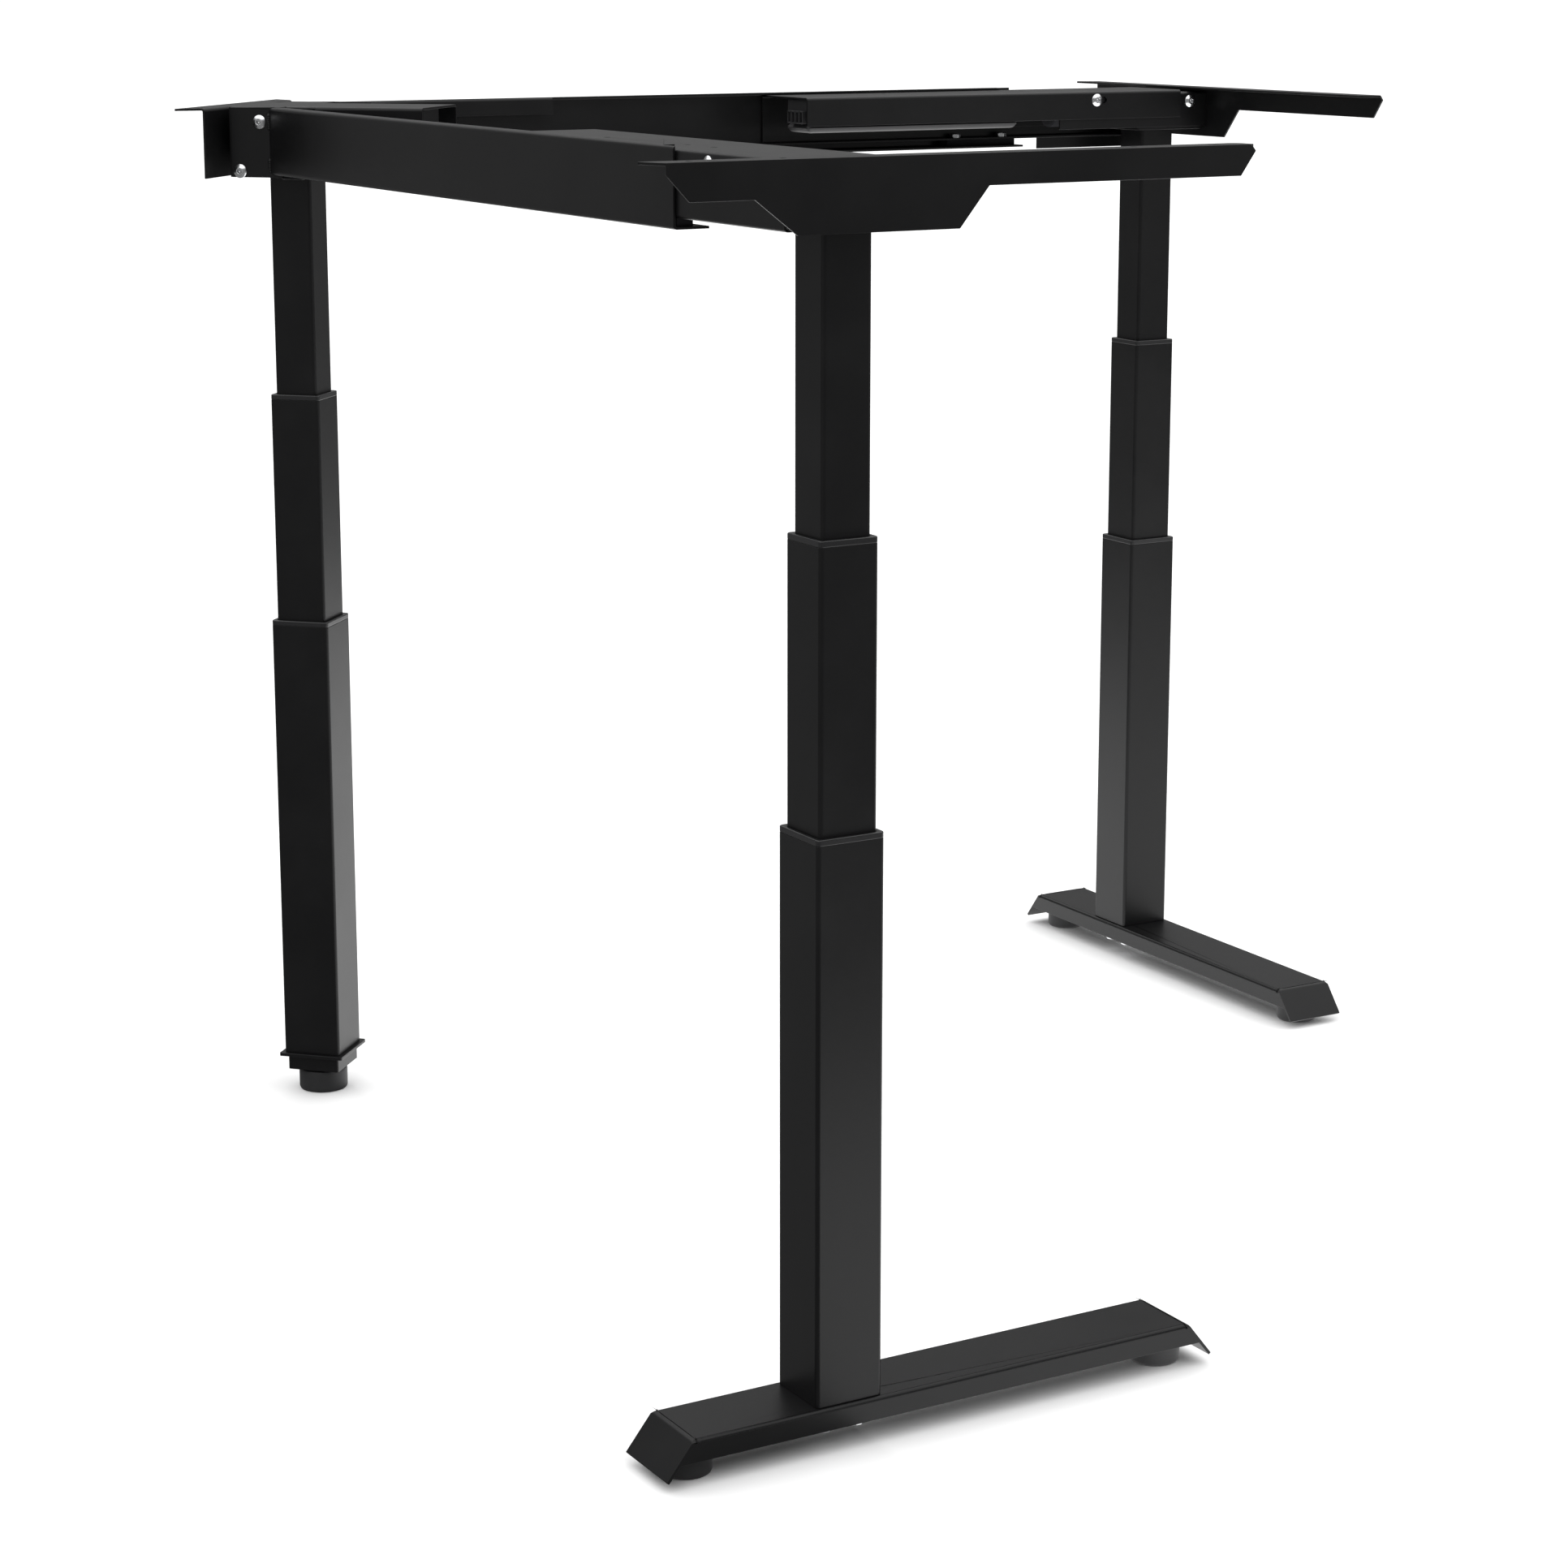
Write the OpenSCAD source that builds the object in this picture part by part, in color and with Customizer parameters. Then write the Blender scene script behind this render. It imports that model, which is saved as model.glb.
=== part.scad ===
// Height adjustable standing desk frame, L shaped, on three telescopic legs.
// The corner leg stands at the origin. One beam runs along -Y to end leg A,
// the other along +X to end leg B. Leg A is the mirror image of leg B.

/* [Frame] */
// Distance from the corner leg to each end leg, axis to axis
leg_spacing = 1200; // [1080:10:1400]
// How far each of the two lift stages is raised above its lowest position
stage_lift = 254; // [0:1:286]
// Depth of the fixed beam rails
rail_depth = 75; // [68:1:90]
// Length of the fixed beam rails, from the corner leg's axis to their open end
rail_reach = 1020; // [900:10:1020]
// Length of the sliding beam rails
sliding_rail_length = 565; // [520:5:600]

/* [Columns] */
// Width of the outer column tube
outer_w = 70; // [68:1:80]
// Width of the middle column tube
middle_w = 60; // [60:1:61]
// Width of the inner column tube
inner_w = 50; // [49:1:50]
// Length of the outer column tube with its collar
outer_length = 535; // [500:5:560]
// Wall of all the column tubes
tube_wall = 2; // [1.5:0.1:2.2]

/* [Feet] */
// Height of the top of the end feet above the floor
foot_top = 46; // [45:1:56]
// Width of the end feet
foot_w = 79; // [76:1:90]
// Length of the foot from the column to its short end
foot_short = 165; // [140:1:180]
// Length of the foot from the column to its long end
foot_long = 382; // [340:1:420]
// Diameter of the levelling pads under the end feet
pad_d = 50; // [40:1:56]

/* [Desktop brackets] */
// Length of a side bracket from the column to its short end
bracket_short = 195; // [180:1:220]
// Length of a side bracket from the column to its long end
bracket_long = 409; // [390:1:450]
// Width of the bracket flange that the desktop rests on
flange_w = 28; // [24:1:36]
// Length of the corner bracket
corner_bracket_length = 254; // [220:2:300]

/* [Control box] */
// Length of the control box
box_length = 315; // [220:5:320]
// Width of the control box
box_w = 54; // [45:1:70]
// Height of the control box
box_h = 41; // [30:1:44]

/* [Hidden] */
$fn = 32;
sheet = 2.5;
bend = 4;
thick_sheet = 3;
stage_gap = 12;
head_stack = 77;
collar_h = 6;
collar_skirt = 22;
glide_h = 30;
glide_play = 0.35;
tube_round = 4;
frame_top = foot_top + outer_length + stage_gap + head_stack + 2 * stage_lift;
middle_top = foot_top + outer_length + stage_gap + stage_lift;
middle_bottom = middle_top - outer_length;
outer_top = foot_top + outer_length;
plate_h = 3.5;
plate_w = 104;
head_bottom = frame_top - 50.5;
inner_top = head_bottom - plate_h;
inner_bottom = middle_bottom + 285;
head_half = 53.4;
head_start = 57;
head_end = 175;
end_head_top = frame_top - 2 * thick_sheet;
gearbox_h = 39;
motor_axis_z = head_bottom + 20.5;
motor_r = 19.5;
rail_half = 56.5;
rail_face = 59.5;
rail_play = 0.5;
rail_bottom = frame_top - rail_depth;
fixed_flange_w = 37;
top_flange_w = 14;
flange_setback = 22;
lip_end = 350;
lip_drop = 20;
ear_reach = 85;
ear_back = -46;
ear_front = 12;
ear_h = 78;
plate_cut = ear_reach + thick_sheet;
sliding_top = frame_top - thick_sheet;
sliding_start = leg_spacing + 13 - sliding_rail_length;
sliding_end = leg_spacing + 13;
sliding_web = 62;
front_lip = 35;
return_w = 19.5;
clamp_v = 45.5;
guide_block_w = 17;
clamp_positions = [rail_reach - 90, rail_reach - 20];
clamp_slot = [22, 505];
block_ends = [rail_reach - 108, rail_reach - 4];
return_z = sliding_top - sliding_web;
bracket_mid_drop = 64;
bracket_arm_drop = 28;
bolt_r = 4;
bolt_head_r = 7.5;
bolt_head_h = 5.3;
hole_play = 0.5;
stiffener_w = 62;
stiffener_length = 130;
stiffener_z = 20;
foot_bolt_pitch = 34;
base_plate_h = 6;
nose_out = 28;
nose_z = 11;
nose_bend = 6;
flange_z = foot_top - 22;
pad_inset = 12;
stud_r = 4;
stud_play = 0.05;
stud_top = foot_top - 4;
pad_h = 24;
weld_nut_h = 14;
weld_nut_r = 9;
corner_foot_z = 51;
corner_plate_w = 80;
corner_plate_h = 4;
corner_block_w = 64;
corner_block_z = 29;
corner_pad_d = 58;
corner_pad_h = 26;
nut_tube_top = 402;
nut_tube_r = 17;
nut_h = 25;
hollow_r = 12;
spindle_r = 7;
hollow_bottom = middle_bottom - 4;
hollow_top = middle_bottom + 380;
spindle_bottom = middle_bottom + 320;
spindle_top = head_bottom + 10;
pipe_r = 19.4;
pipe_wall = 2;
pipe_cap = 3;
desk_hole_r = 3.5;

// ---------- placing ----------

// The corner leg's frame is turned so that its +x points into the L
module at_corner() rotate([0, 0, -45]) children();

// End leg B's frame: +x points back along its beam, +y along the long arm of its foot
module at_leg_b() translate([leg_spacing, 0, 0]) rotate([0, 0, 180]) children();

// Beam A and leg A mirror beam B and leg B across the bisector of the corner
module on_side_a() mirror([1, 1, 0]) children();

module at_leg_a() on_side_a() at_leg_b() children();

// Lays a section drawn in x and y along +x, with its y upwards
module along_x() rotate([90, 0, 90]) children();

// Lays a section drawn in x and y along +y, with its y upwards
module along_y() rotate([90, 0, 180]) children();

// ---------- shared shapes ----------

// A square with true round corners
module rounded_square(w, r) {
    square([w, w - 2 * r], center = true);
    square([w - 2 * r, w], center = true);
    for (x = [-1, 1], y = [-1, 1])
        translate([x * (w / 2 - r), y * (w / 2 - r)])
            circle(r);
}

// A square ring with round corners, standing from z0 to z1
module square_ring(outside, inside, z0, z1, r_out, r_in)
    translate([0, 0, z0])
        linear_extrude(z1 - z0)
            difference() {
                rounded_square(outside, r_out);
                rounded_square(inside, r_in);
            }

// A quarter ring that joins two legs of a folded sheet
module bend_ring(t, r)
    intersection() {
        difference() {
            circle(r);
            circle(r - t);
        }
        translate([0, -r])
            square(r);
    }

// Section of a sheet folded along a right-angled path; the sheet lies to the left of the path
module fold(path, t, r)
    for (i = [0 : len(path) - 2]) {
        step = (path[i + 1] - path[i]) / norm(path[i + 1] - path[i]);
        left = [-step.y, step.x];
        from = path[i] + step * (i > 0 ? r : 0);
        to = path[i + 1] - step * (i < len(path) - 2 ? r : 0);
        polygon([from, to, to + left * t, from + left * t]);
        if (i < len(path) - 2)
            translate(to + left * r)
                rotate(atan2(step.y, step.x))
                    bend_ring(t, r);
    }

// Section of a channel that opens downwards
module channel_section(half, top, depth, t)
    fold([[half, top - depth], [half, top], [-half, top], [-half, top - depth]], t, bend);

// A hexagon-headed bolt: head at the origin, shank along -z
module hex_bolt(shank) {
    cylinder(h = bolt_head_h, r = bolt_head_r, $fn = 6);
    translate([0, 0, -shank])
        cylinder(h = shank + 0.5, r = bolt_r);
}

// ---------- column parts, in a leg's own frame ----------

module column_tube(w, z0, z1)
    color("#1b1c1e")
        square_ring(w, w - 2 * tube_wall, z0, z1, tube_round, tube_round - tube_wall);

// Middle tube with the lift pipe welded in it; the pipe's cap hangs on the hollow screw
module middle_tube() {
    column_tube(middle_w, middle_bottom, middle_top - collar_h);
    color("#1b1c1e") {
        translate([0, 0, middle_bottom])
            linear_extrude(pipe_cap)
                difference() {
                    rounded_square(middle_w - 2 * tube_wall + 0.4, tube_round - tube_wall);
                    circle(pipe_r - pipe_wall);
                }
        translate([0, 0, middle_bottom])
            rotate_extrude()
                polygon([
                    [pipe_r - pipe_wall, 0], [pipe_r, 0], [pipe_r, hollow_top - middle_bottom + pipe_cap],
                    [spindle_r + 1.5, hollow_top - middle_bottom + pipe_cap],
                    [spindle_r + 1.5, hollow_top - middle_bottom],
                    [pipe_r - pipe_wall, hollow_top - middle_bottom]
                ]);
    }
}

// The collar caps a tube and guides the next one: a flush rim and a skirt inside the tube
module collar(w, inner, top)
    color("#0c0c0d")
        difference() {
            union() {
                square_ring(w, w - 12, top - collar_h, top - 1.2, tube_round, tube_round);
                square_ring(w - 2.4, w - 12, top - 1.2, top, tube_round - 1.2, tube_round);
                square_ring(w - 2 * tube_wall - 0.2, w - 12, top - collar_h - collar_skirt, top - collar_h + 1,
                    tube_round - tube_wall, tube_round);
            }
            translate([0, 0, top - collar_h - collar_skirt - 1])
                linear_extrude(collar_h + collar_skirt + 2)
                    rounded_square(inner + 2 * glide_play, tube_round + glide_play);
        }

// The glide ring is clipped round the bottom of a tube and runs inside the next larger one
module glides(w, outer, z0)
    color("#d9d6cb")
        square_ring(outer - 2 * tube_wall - 2 * glide_play, w, z0, z0 + glide_h,
            tube_round - tube_wall, tube_round);

// Inner tube with the mounting plate welded on its top
module inner_tube()
    color("#1b1c1e") {
        square_ring(inner_w, inner_w - 2 * tube_wall, inner_bottom, inner_top, tube_round, tube_round - tube_wall);
        square_ring(plate_w, 2 * spindle_r + 6, inner_top, inner_top + plate_h, tube_round, spindle_r);
    }

// Steel tube standing in the column with the lower lift nut pressed in its top
module nut_tube(z0)
    color("#8f9295")
        translate([0, 0, z0])
            rotate_extrude()
                polygon([
                    [nut_tube_r - 2.5, 0], [nut_tube_r, 0], [nut_tube_r, nut_tube_top - z0],
                    [hollow_r + 0.3, nut_tube_top - z0], [hollow_r + 0.3, nut_tube_top - z0 - nut_h],
                    [nut_tube_r - 2.5, nut_tube_top - z0 - nut_h]
                ]);

// Hollow screw that turns in the lower nut and carries the upper nut in its top
module hollow_screw()
    color("#a7a9ab")
        translate([0, 0, hollow_bottom])
            rotate_extrude()
                polygon([
                    [hollow_r - 2.5, 0], [hollow_r, 0], [hollow_r, hollow_top - hollow_bottom - nut_h],
                    [pipe_r - pipe_wall - 0.4, hollow_top - hollow_bottom - nut_h],
                    [pipe_r - pipe_wall - 0.4, hollow_top - hollow_bottom],
                    [spindle_r + 0.3, hollow_top - hollow_bottom],
                    [spindle_r + 0.3, hollow_top - hollow_bottom - nut_h],
                    [hollow_r - 2.5, hollow_top - hollow_bottom - nut_h]
                ]);

module spindle()
    color("#b5b7b9")
        translate([0, 0, spindle_bottom])
            cylinder(h = spindle_top - spindle_bottom, r = spindle_r);

// Gearbox on the mounting plate with the motor lying beside it along the head
module drive_motor()
    color("#3a3b3d") {
        difference() {
            translate([-40, -34, head_bottom])
                cube([88, 68, gearbox_h]);
            translate([0, 0, head_bottom - 1])
                cylinder(h = spindle_top - head_bottom + 1, r = spindle_r + stud_play);
        }
        translate([48, 0, motor_axis_z])
            rotate([0, 90, 0])
                cylinder(h = 112, r = motor_r);
    }

// Channel over the top of a column that holds the gearbox and motor
module head(top, half)
    color("#1f2022")
        difference() {
            union() {
                translate([-head_start, 0, 0])
                    along_x()
                        linear_extrude(head_start + head_end)
                            channel_section(half, top, top - head_bottom, sheet);
                translate([-head_start, -half + sheet, head_bottom])
                    cube([sheet, 2 * (half - sheet), top - head_bottom - sheet / 2]);
            }
            for (y = [-1, 1])
                translate([-head_start - 1, y * 30, head_bottom + 22])
                    rotate([0, 90, 0])
                        cylinder(h = sheet + 2, r = bolt_r + hole_play);
        }

// ---------- corner leg ----------

module corner_outer_tube() at_corner() column_tube(outer_w, corner_foot_z, outer_top - collar_h);

module corner_outer_collar() at_corner() collar(outer_w, middle_w, outer_top);

// Square foot plate with the socket block of the leveller under it
module corner_foot()
    color("#1b1c1e")
        at_corner()
            difference() {
                union() {
                    translate([0, 0, corner_foot_z - corner_plate_h])
                        linear_extrude(corner_plate_h)
                            rounded_square(corner_plate_w, 3);
                    translate([0, 0, corner_block_z])
                        linear_extrude(corner_foot_z - corner_plate_h - corner_block_z)
                            rounded_square(corner_block_w, 3);
                }
                translate([0, 0, corner_block_z - 1])
                    cylinder(h = corner_foot_z - corner_block_z - corner_plate_h + 1, r = stud_r + stud_play);
            }

module corner_nut_tube() at_corner() nut_tube(corner_foot_z);

// Levelling foot: tall round pad on a threaded stud
module leveller(d, h, top)
    color("#111112")
        rotate_extrude()
            polygon([
                [0, 0], [d / 2 - 3, 0], [d / 2 - 1, 1], [d / 2, 3], [d / 2, h - 1.5], [d / 2 - 1.5, h],
                [stud_r, h], [stud_r, top], [0, top]
            ]);

module corner_leveller() at_corner() leveller(corner_pad_d, corner_pad_h, corner_foot_z - corner_plate_h - 5);

module corner_middle_tube() at_corner() middle_tube();

module corner_middle_collar() at_corner() collar(middle_w, inner_w, middle_top);

module corner_middle_glides() at_corner() glides(middle_w, outer_w, middle_bottom);

module corner_hollow_screw() at_corner() hollow_screw();

module corner_inner_tube() at_corner() inner_tube();

module corner_inner_glides() at_corner() glides(inner_w, middle_w, inner_bottom);

// Head of the corner leg, with a tab in its open end for the cable clip
module corner_head()
    color("#1f2022")
        at_corner() {
            head(frame_top, rail_half - 0.5);
            translate([head_end - 6, -44, frame_top - 26])
                cube([sheet, 50, 26 - sheet / 2]);
        }

// Two formed ears welded to the sides of the corner head, one for each beam
module corner_head_ears()
    color("#1f2022")
        at_corner() {
            corner_ear();
            mirror([0, 1, 0])
                corner_ear();
        }

module corner_ear() {
    root = rail_half - 0.5;
    difference() {
        translate([ear_back, root, frame_top - ear_h])
            cube([ear_front - ear_back, ear_reach - root, ear_h]);
        translate([ear_back + thick_sheet, root - 1, frame_top - ear_h - 1])
            cube([ear_front - ear_back - 2 * thick_sheet, ear_reach - root - thick_sheet + 1, ear_h - thick_sheet + 1]);
        for (hole = corner_bolt_places)
            translate([hole.x, ear_reach - thick_sheet - 1, frame_top + hole.y])
                rotate([-90, 0, 0])
                    cylinder(h = thick_sheet + 2, r = bolt_r + hole_play);
    }
}
corner_bolt_places = [[-8, -16], [-33, -71]];

module corner_drive_motor() at_corner() drive_motor();

module corner_spindle() at_corner() spindle();

// Corner bracket: the web is bolted to the head's end, the flange points out of the corner
module corner_bracket() {
    half = corner_bracket_length / 2;
    face = -head_start;
    color("#1b1c1e")
        at_corner()
            difference() {
                union() {
                    translate([face, half, 0])
                        rotate([90, 0, 0])
                            linear_extrude(2 * half)
                                fold([[0, frame_top - ear_h], [0, frame_top], [-flange_w, frame_top]], sheet, bend);
                    for (side = [-1, 1])
                        translate([face - flange_w, side * half, frame_top - sheet])
                            linear_extrude(sheet)
                                polygon([[0, 0], [flange_w - bend, 0], [0, side * 18]]);
                }
                for (y = [-1, 1])
                    translate([face - sheet - 1, y * 30, head_bottom + 22])
                        rotate([0, 90, 0])
                            cylinder(h = sheet + 2, r = bolt_r + hole_play);
                for (y = [-100, 100])
                    translate([face - flange_w / 2, y, frame_top - sheet - 1])
                        cylinder(h = sheet + 2, r = desk_hole_r);
            }
}

// Fixed rail of a beam, in beam B's place: C section cut at 45 degrees and closed by a welded plate
module fixed_rail() {
    length = rail_reach - plate_cut;
    color("#1b1c1e") {
        difference() {
            union() {
                along_x()
                    linear_extrude(rail_reach)
                        fold([
                            [rail_face - fixed_flange_w, rail_bottom], [rail_face, rail_bottom],
                            [rail_face, frame_top], [rail_face - top_flange_w, frame_top]
                        ], sheet, bend);
                along_x()
                    linear_extrude(lip_end)
                        fold([
                            [rail_face - top_flange_w + sheet, frame_top],
                            [rail_face - top_flange_w - sheet, frame_top],
                            [rail_face - top_flange_w - sheet, frame_top - lip_drop]
                        ], sheet, bend - 0.5);
            }
            rotate([0, 0, 45])
                translate([-200, -length, 0])
                    cube([plate_cut + 200, 2 * length, 2 * frame_top]);
            translate([rail_reach - flange_setback, 0, frame_top - bend - 1])
                cube([flange_setback + 1, rail_face - sheet, bend + 2]);
            for (x = clamp_positions)
                translate([x, clamp_v, rail_bottom - 1])
                    cylinder(h = sheet + 2, r = bolt_r + hole_play);
        }
        rail_end_plate();
    }
}

module rail_end_plate()
    rotate([0, 0, -45])
        difference() {
            translate([ear_back + 3, ear_reach, frame_top - ear_h])
                cube([102, thick_sheet, ear_h]);
            for (hole = corner_bolt_places)
                translate([hole.x, ear_reach - 1, frame_top + hole.y])
                    rotate([-90, 0, 0])
                        cylinder(h = thick_sheet + 2, r = bolt_r + hole_play);
        }

module beam_a_fixed_rail() on_side_a() fixed_rail();

module beam_b_fixed_rail() fixed_rail();

// Threaded blocks that carry the sliding rail inside the fixed rail
module guide_block()
    difference() {
        translate([block_ends[0], clamp_v - guide_block_w / 2, rail_bottom + sheet])
            cube([block_ends[1] - block_ends[0], guide_block_w, return_z - rail_bottom - sheet]);
        for (x = clamp_positions)
            translate([x, clamp_v, rail_bottom])
                cylinder(h = 2 * rail_depth, r = bolt_r + stud_play);
    }

module beam_guide_blocks()
    color("#2a2a2c") {
        guide_block();
        on_side_a() guide_block();
    }

// Hexagon bolts of the corner: four in the rail end plates, two in the corner bracket
module corner_bolts()
    color("#c9cbcd") {
        at_corner() {
            for (side = [-1, 1], hole = corner_bolt_places)
                translate([hole.x, side * plate_cut, frame_top + hole.y])
                    rotate([-90 * side, 0, 0])
                        hex_bolt(14);
            for (y = [-1, 1])
                translate([-head_start - sheet, y * 30, head_bottom + 22])
                    rotate([0, -90, 0])
                        hex_bolt(12);
        }
    }

// Bolts that clamp each sliding rail to its guide block through the long slot
module rail_clamp_bolts()
    color("#c9cbcd")
        for (x = clamp_positions) {
            clamp_bolt(x);
            on_side_a() clamp_bolt(x);
        }

module clamp_bolt(x)
    translate([x, clamp_v, return_z + sheet])
        hex_bolt(return_z + sheet - rail_bottom);

// ---------- end legs, in the leg's own frame ----------

module end_head()
    difference() {
        head(end_head_top, head_half);
        for (side = [-1, 1])
            translate([head_bolt_places[0], side * (head_half - sheet - 1), sliding_top - head_bolt_drop])
                rotate([-90 * side, 0, 0])
                    cylinder(h = sheet + 2, r = bolt_r + hole_play);
        translate([-30, head_half + 1, frame_top - 18])
            rotate([90, 0, 0])
                cylinder(h = sheet + 2, r = bolt_r + hole_play);
    }

// Side bracket: shaped web on the outer face of the head, flange pointing inwards over it
module side_bracket() {
    face = -head_start;
    top = frame_top;
    color("#1b1c1e")
        difference() {
            union() {
                translate([face, 0, 0])
                    rotate([90, 0, -90])
                        linear_extrude(sheet)
                            side_bracket_web(top);
                translate([face - sheet, 0, top - sheet])
                    linear_extrude(sheet)
                        side_bracket_flange();
            }
            for (y = bracket_hole_places)
                translate([face + flange_w / 2, y, top - sheet - 1])
                    cylinder(h = sheet + 2, r = desk_hole_r);
        }
}
bracket_hole_places = [-165, -75, 285, 375];
flange_corner_r = 12;

module side_bracket_flange() {
    polygon([
        [0, -bracket_short], [0, bracket_long - 6], [4, bracket_long], [flange_w - flange_corner_r, bracket_long],
        [flange_w - flange_corner_r, bracket_long - flange_corner_r],
        [flange_w, bracket_long - flange_corner_r], [flange_w, -bracket_short - 12]
    ]);
    translate([flange_w - flange_corner_r, bracket_long - flange_corner_r])
        circle(flange_corner_r);
}

// Outline of the side bracket's web; x runs against the leg's y axis
module side_bracket_web(top)
    polygon([
        [bracket_short, top - sheet / 2], [bracket_short, top - 10], [bracket_short - 22, top - 33],
        [bracket_short - 84, top - 33], [70, top - bracket_mid_drop], [-92, top - bracket_mid_drop],
        [-122, top - bracket_arm_drop], [16 - bracket_long, top - bracket_arm_drop],
        [-bracket_long, top - 6], [4 - bracket_long, top - sheet / 2]
    ]);

// Sliding rail of a beam, in beam B's place: it caps the head and runs inside the fixed rail
module sliding_rail() {
    color("#232426")
        difference() {
            translate([sliding_start, 0, 0])
                along_x()
                    linear_extrude(sliding_rail_length)
                        fold([
                            [rail_half - return_w, return_z], [rail_half, return_z], [rail_half, sliding_top],
                            [-rail_half, sliding_top], [-rail_half, sliding_top - front_lip]
                        ], sheet, bend);
            translate([sliding_start, 0, return_z - 1])
                clamp_slot_cut();
            for (x = head_bolt_places, side = [-1, 1])
                translate([leg_spacing - x, side * (rail_half - sheet - 1), sliding_top - head_bolt_drop])
                    rotate([-90 * side, 0, 0])
                        cylinder(h = sheet + 2, r = bolt_r + hole_play);
            for (x = [152, 312, 362])
                translate([sliding_start + x, 12, sliding_top - sheet - 1])
                    cylinder(h = sheet + 2, r = desk_hole_r);
        }
}
head_bolt_places = [120, 109];
head_bolt_drop = 11;

module clamp_slot_cut()
    linear_extrude(sheet + 2) {
        translate([clamp_slot[0], clamp_v - bolt_r - hole_play])
            square([clamp_slot[1] - clamp_slot[0], 2 * bolt_r + 2 * hole_play]);
        for (x = clamp_slot)
            translate([x, clamp_v])
                circle(bolt_r + hole_play);
    }

// Bolts that hold the head: one in each side of the rail, two through the bracket, in beam B's place
module head_bolts()
    color("#c9cbcd") {
        for (side = [-1, 1])
            translate([leg_spacing - head_bolt_places[0], side * rail_half, sliding_top - head_bolt_drop])
                rotate([-90 * side, 0, 0])
                    button_bolt(rail_half - head_half + sheet + 3);
        translate([leg_spacing + 30, -head_half, frame_top - 18])
            rotate([90, 0, 0])
                button_bolt(sheet + 4);
        at_leg_b()
            for (y = [-1, 1])
                translate([-head_start + sheet, y * 30, head_bottom + 22])
                    rotate([0, 90, 0])
                        hex_bolt(sheet);
    }

// A low round-headed bolt with a flat under its head
module button_bolt(shank)
    rotate_extrude()
        polygon([
            [0, -shank], [bolt_r, -shank], [bolt_r, 0], [8, 0], [8, 1.4], [5.5, 3.2], [0, 3.6]
        ]);

// End foot: folded channel with slanted noses, an inner stiffener and two welded nuts
module end_foot()
    color("#1b1c1e")
        difference() {
            union() {
                translate([0, nose_lead - foot_short, 0])
                    along_y()
                        linear_extrude(foot_short + foot_long - 2 * nose_lead)
                            channel_section(foot_w / 2, foot_top, foot_top - flange_z, thick_sheet);
                translate([0, foot_long, 0])
                    foot_nose();
                translate([0, -foot_short, 0])
                    mirror([0, 1, 0])
                        foot_nose();
                translate([0, -stiffener_length / 2, 0])
                    along_y()
                        linear_extrude(stiffener_length)
                            stiffener_section();
                for (y = leveller_places)
                    translate([0, y, foot_top - thick_sheet - weld_nut_h])
                        cylinder(h = weld_nut_h + 0.5, r = weld_nut_r);
            }
            for (y = leveller_places)
                translate([0, y, foot_top - thick_sheet - weld_nut_h - 1])
                    cylinder(h = weld_nut_h + 1, r = stud_r + stud_play);
            for (x = [-1, 1], y = [-1, 1])
                translate([x * foot_bolt_pitch / 2, y * foot_bolt_pitch / 2, stiffener_z - 1])
                    cylinder(h = foot_top, r = bolt_r + hole_play);
        }
leveller_places = [pad_inset - foot_short, foot_long - pad_inset];

// Section of the stiffener welded inside the foot under the column
module stiffener_section()
    fold([
        [-stiffener_w / 2, foot_top - thick_sheet + 0.5], [-stiffener_w / 2, stiffener_z],
        [stiffener_w / 2, stiffener_z], [stiffener_w / 2, foot_top - thick_sheet + 0.5]
    ], thick_sheet, bend);

// End of a foot: the top is bent down along a slant and the flanges run on to it; the foot ends at y = 0
module foot_nose() {
    half = foot_w / 2;
    difference() {
        translate([-half, 0, 0])
            rotate([90, 0, 90])
                linear_extrude(foot_w)
                    nose_profile();
        for (side = [-1, 1])
            translate([side * half, 0, foot_top])
                rotate([0, 45, 0])
                    cube([nose_chamfer, 4 * nose_out, nose_chamfer], center = true);
    }
    for (x = [-half, half - thick_sheet])
        translate([x, 0, 0])
            rotate([90, 0, 90])
                linear_extrude(thick_sheet)
                    polygon([
                        [-nose_lead - 1, flange_z], [nose_middle(flange_z), flange_z],
                        [nose_middle(foot_top - bend), foot_top - bend], [-nose_lead - 1, foot_top - bend]
                    ]);
}
nose_chamfer = 3.6;
nose_slant = atan2(foot_top - nose_z, nose_out);
nose_lead = nose_bend * tan(nose_slant / 2);

// How far the middle of the slanted plate stands out at height z
function nose_middle(z) = (foot_top - z) / tan(nose_slant) - thick_sheet / 2 / sin(nose_slant);

// A point of the bend from the foot's top to the slant, at radius r and share i of the turn
function nose_point(r, i) = [r * sin(i * nose_slant) - nose_lead, r * cos(i * nose_slant) + foot_top - nose_bend];

module nose_profile()
    polygon([
        [-nose_lead - 0.5, foot_top], nose_point(nose_bend, 0.33), nose_point(nose_bend, 0.67),
        nose_point(nose_bend, 1), [nose_out, nose_z],
        [nose_out - thick_sheet * sin(nose_slant), nose_z - thick_sheet * cos(nose_slant)],
        nose_point(nose_bend - thick_sheet, 1), nose_point(nose_bend - thick_sheet, 0.5),
        [-nose_lead - 0.5, foot_top - thick_sheet]
    ]);

// Thick plate in the bottom of the outer tube that the foot bolts screw into
module column_base()
    color("#1b1c1e")
        difference() {
            translate([0, 0, foot_top])
                linear_extrude(base_plate_h)
                    rounded_square(outer_w - 2 * tube_wall + 0.4, tube_round - tube_wall);
            for (x = [-1, 1], y = [-1, 1])
                translate([x * foot_bolt_pitch / 2, y * foot_bolt_pitch / 2, foot_top - 1])
                    cylinder(h = base_plate_h + 2, r = bolt_r + stud_play);
        }

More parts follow.
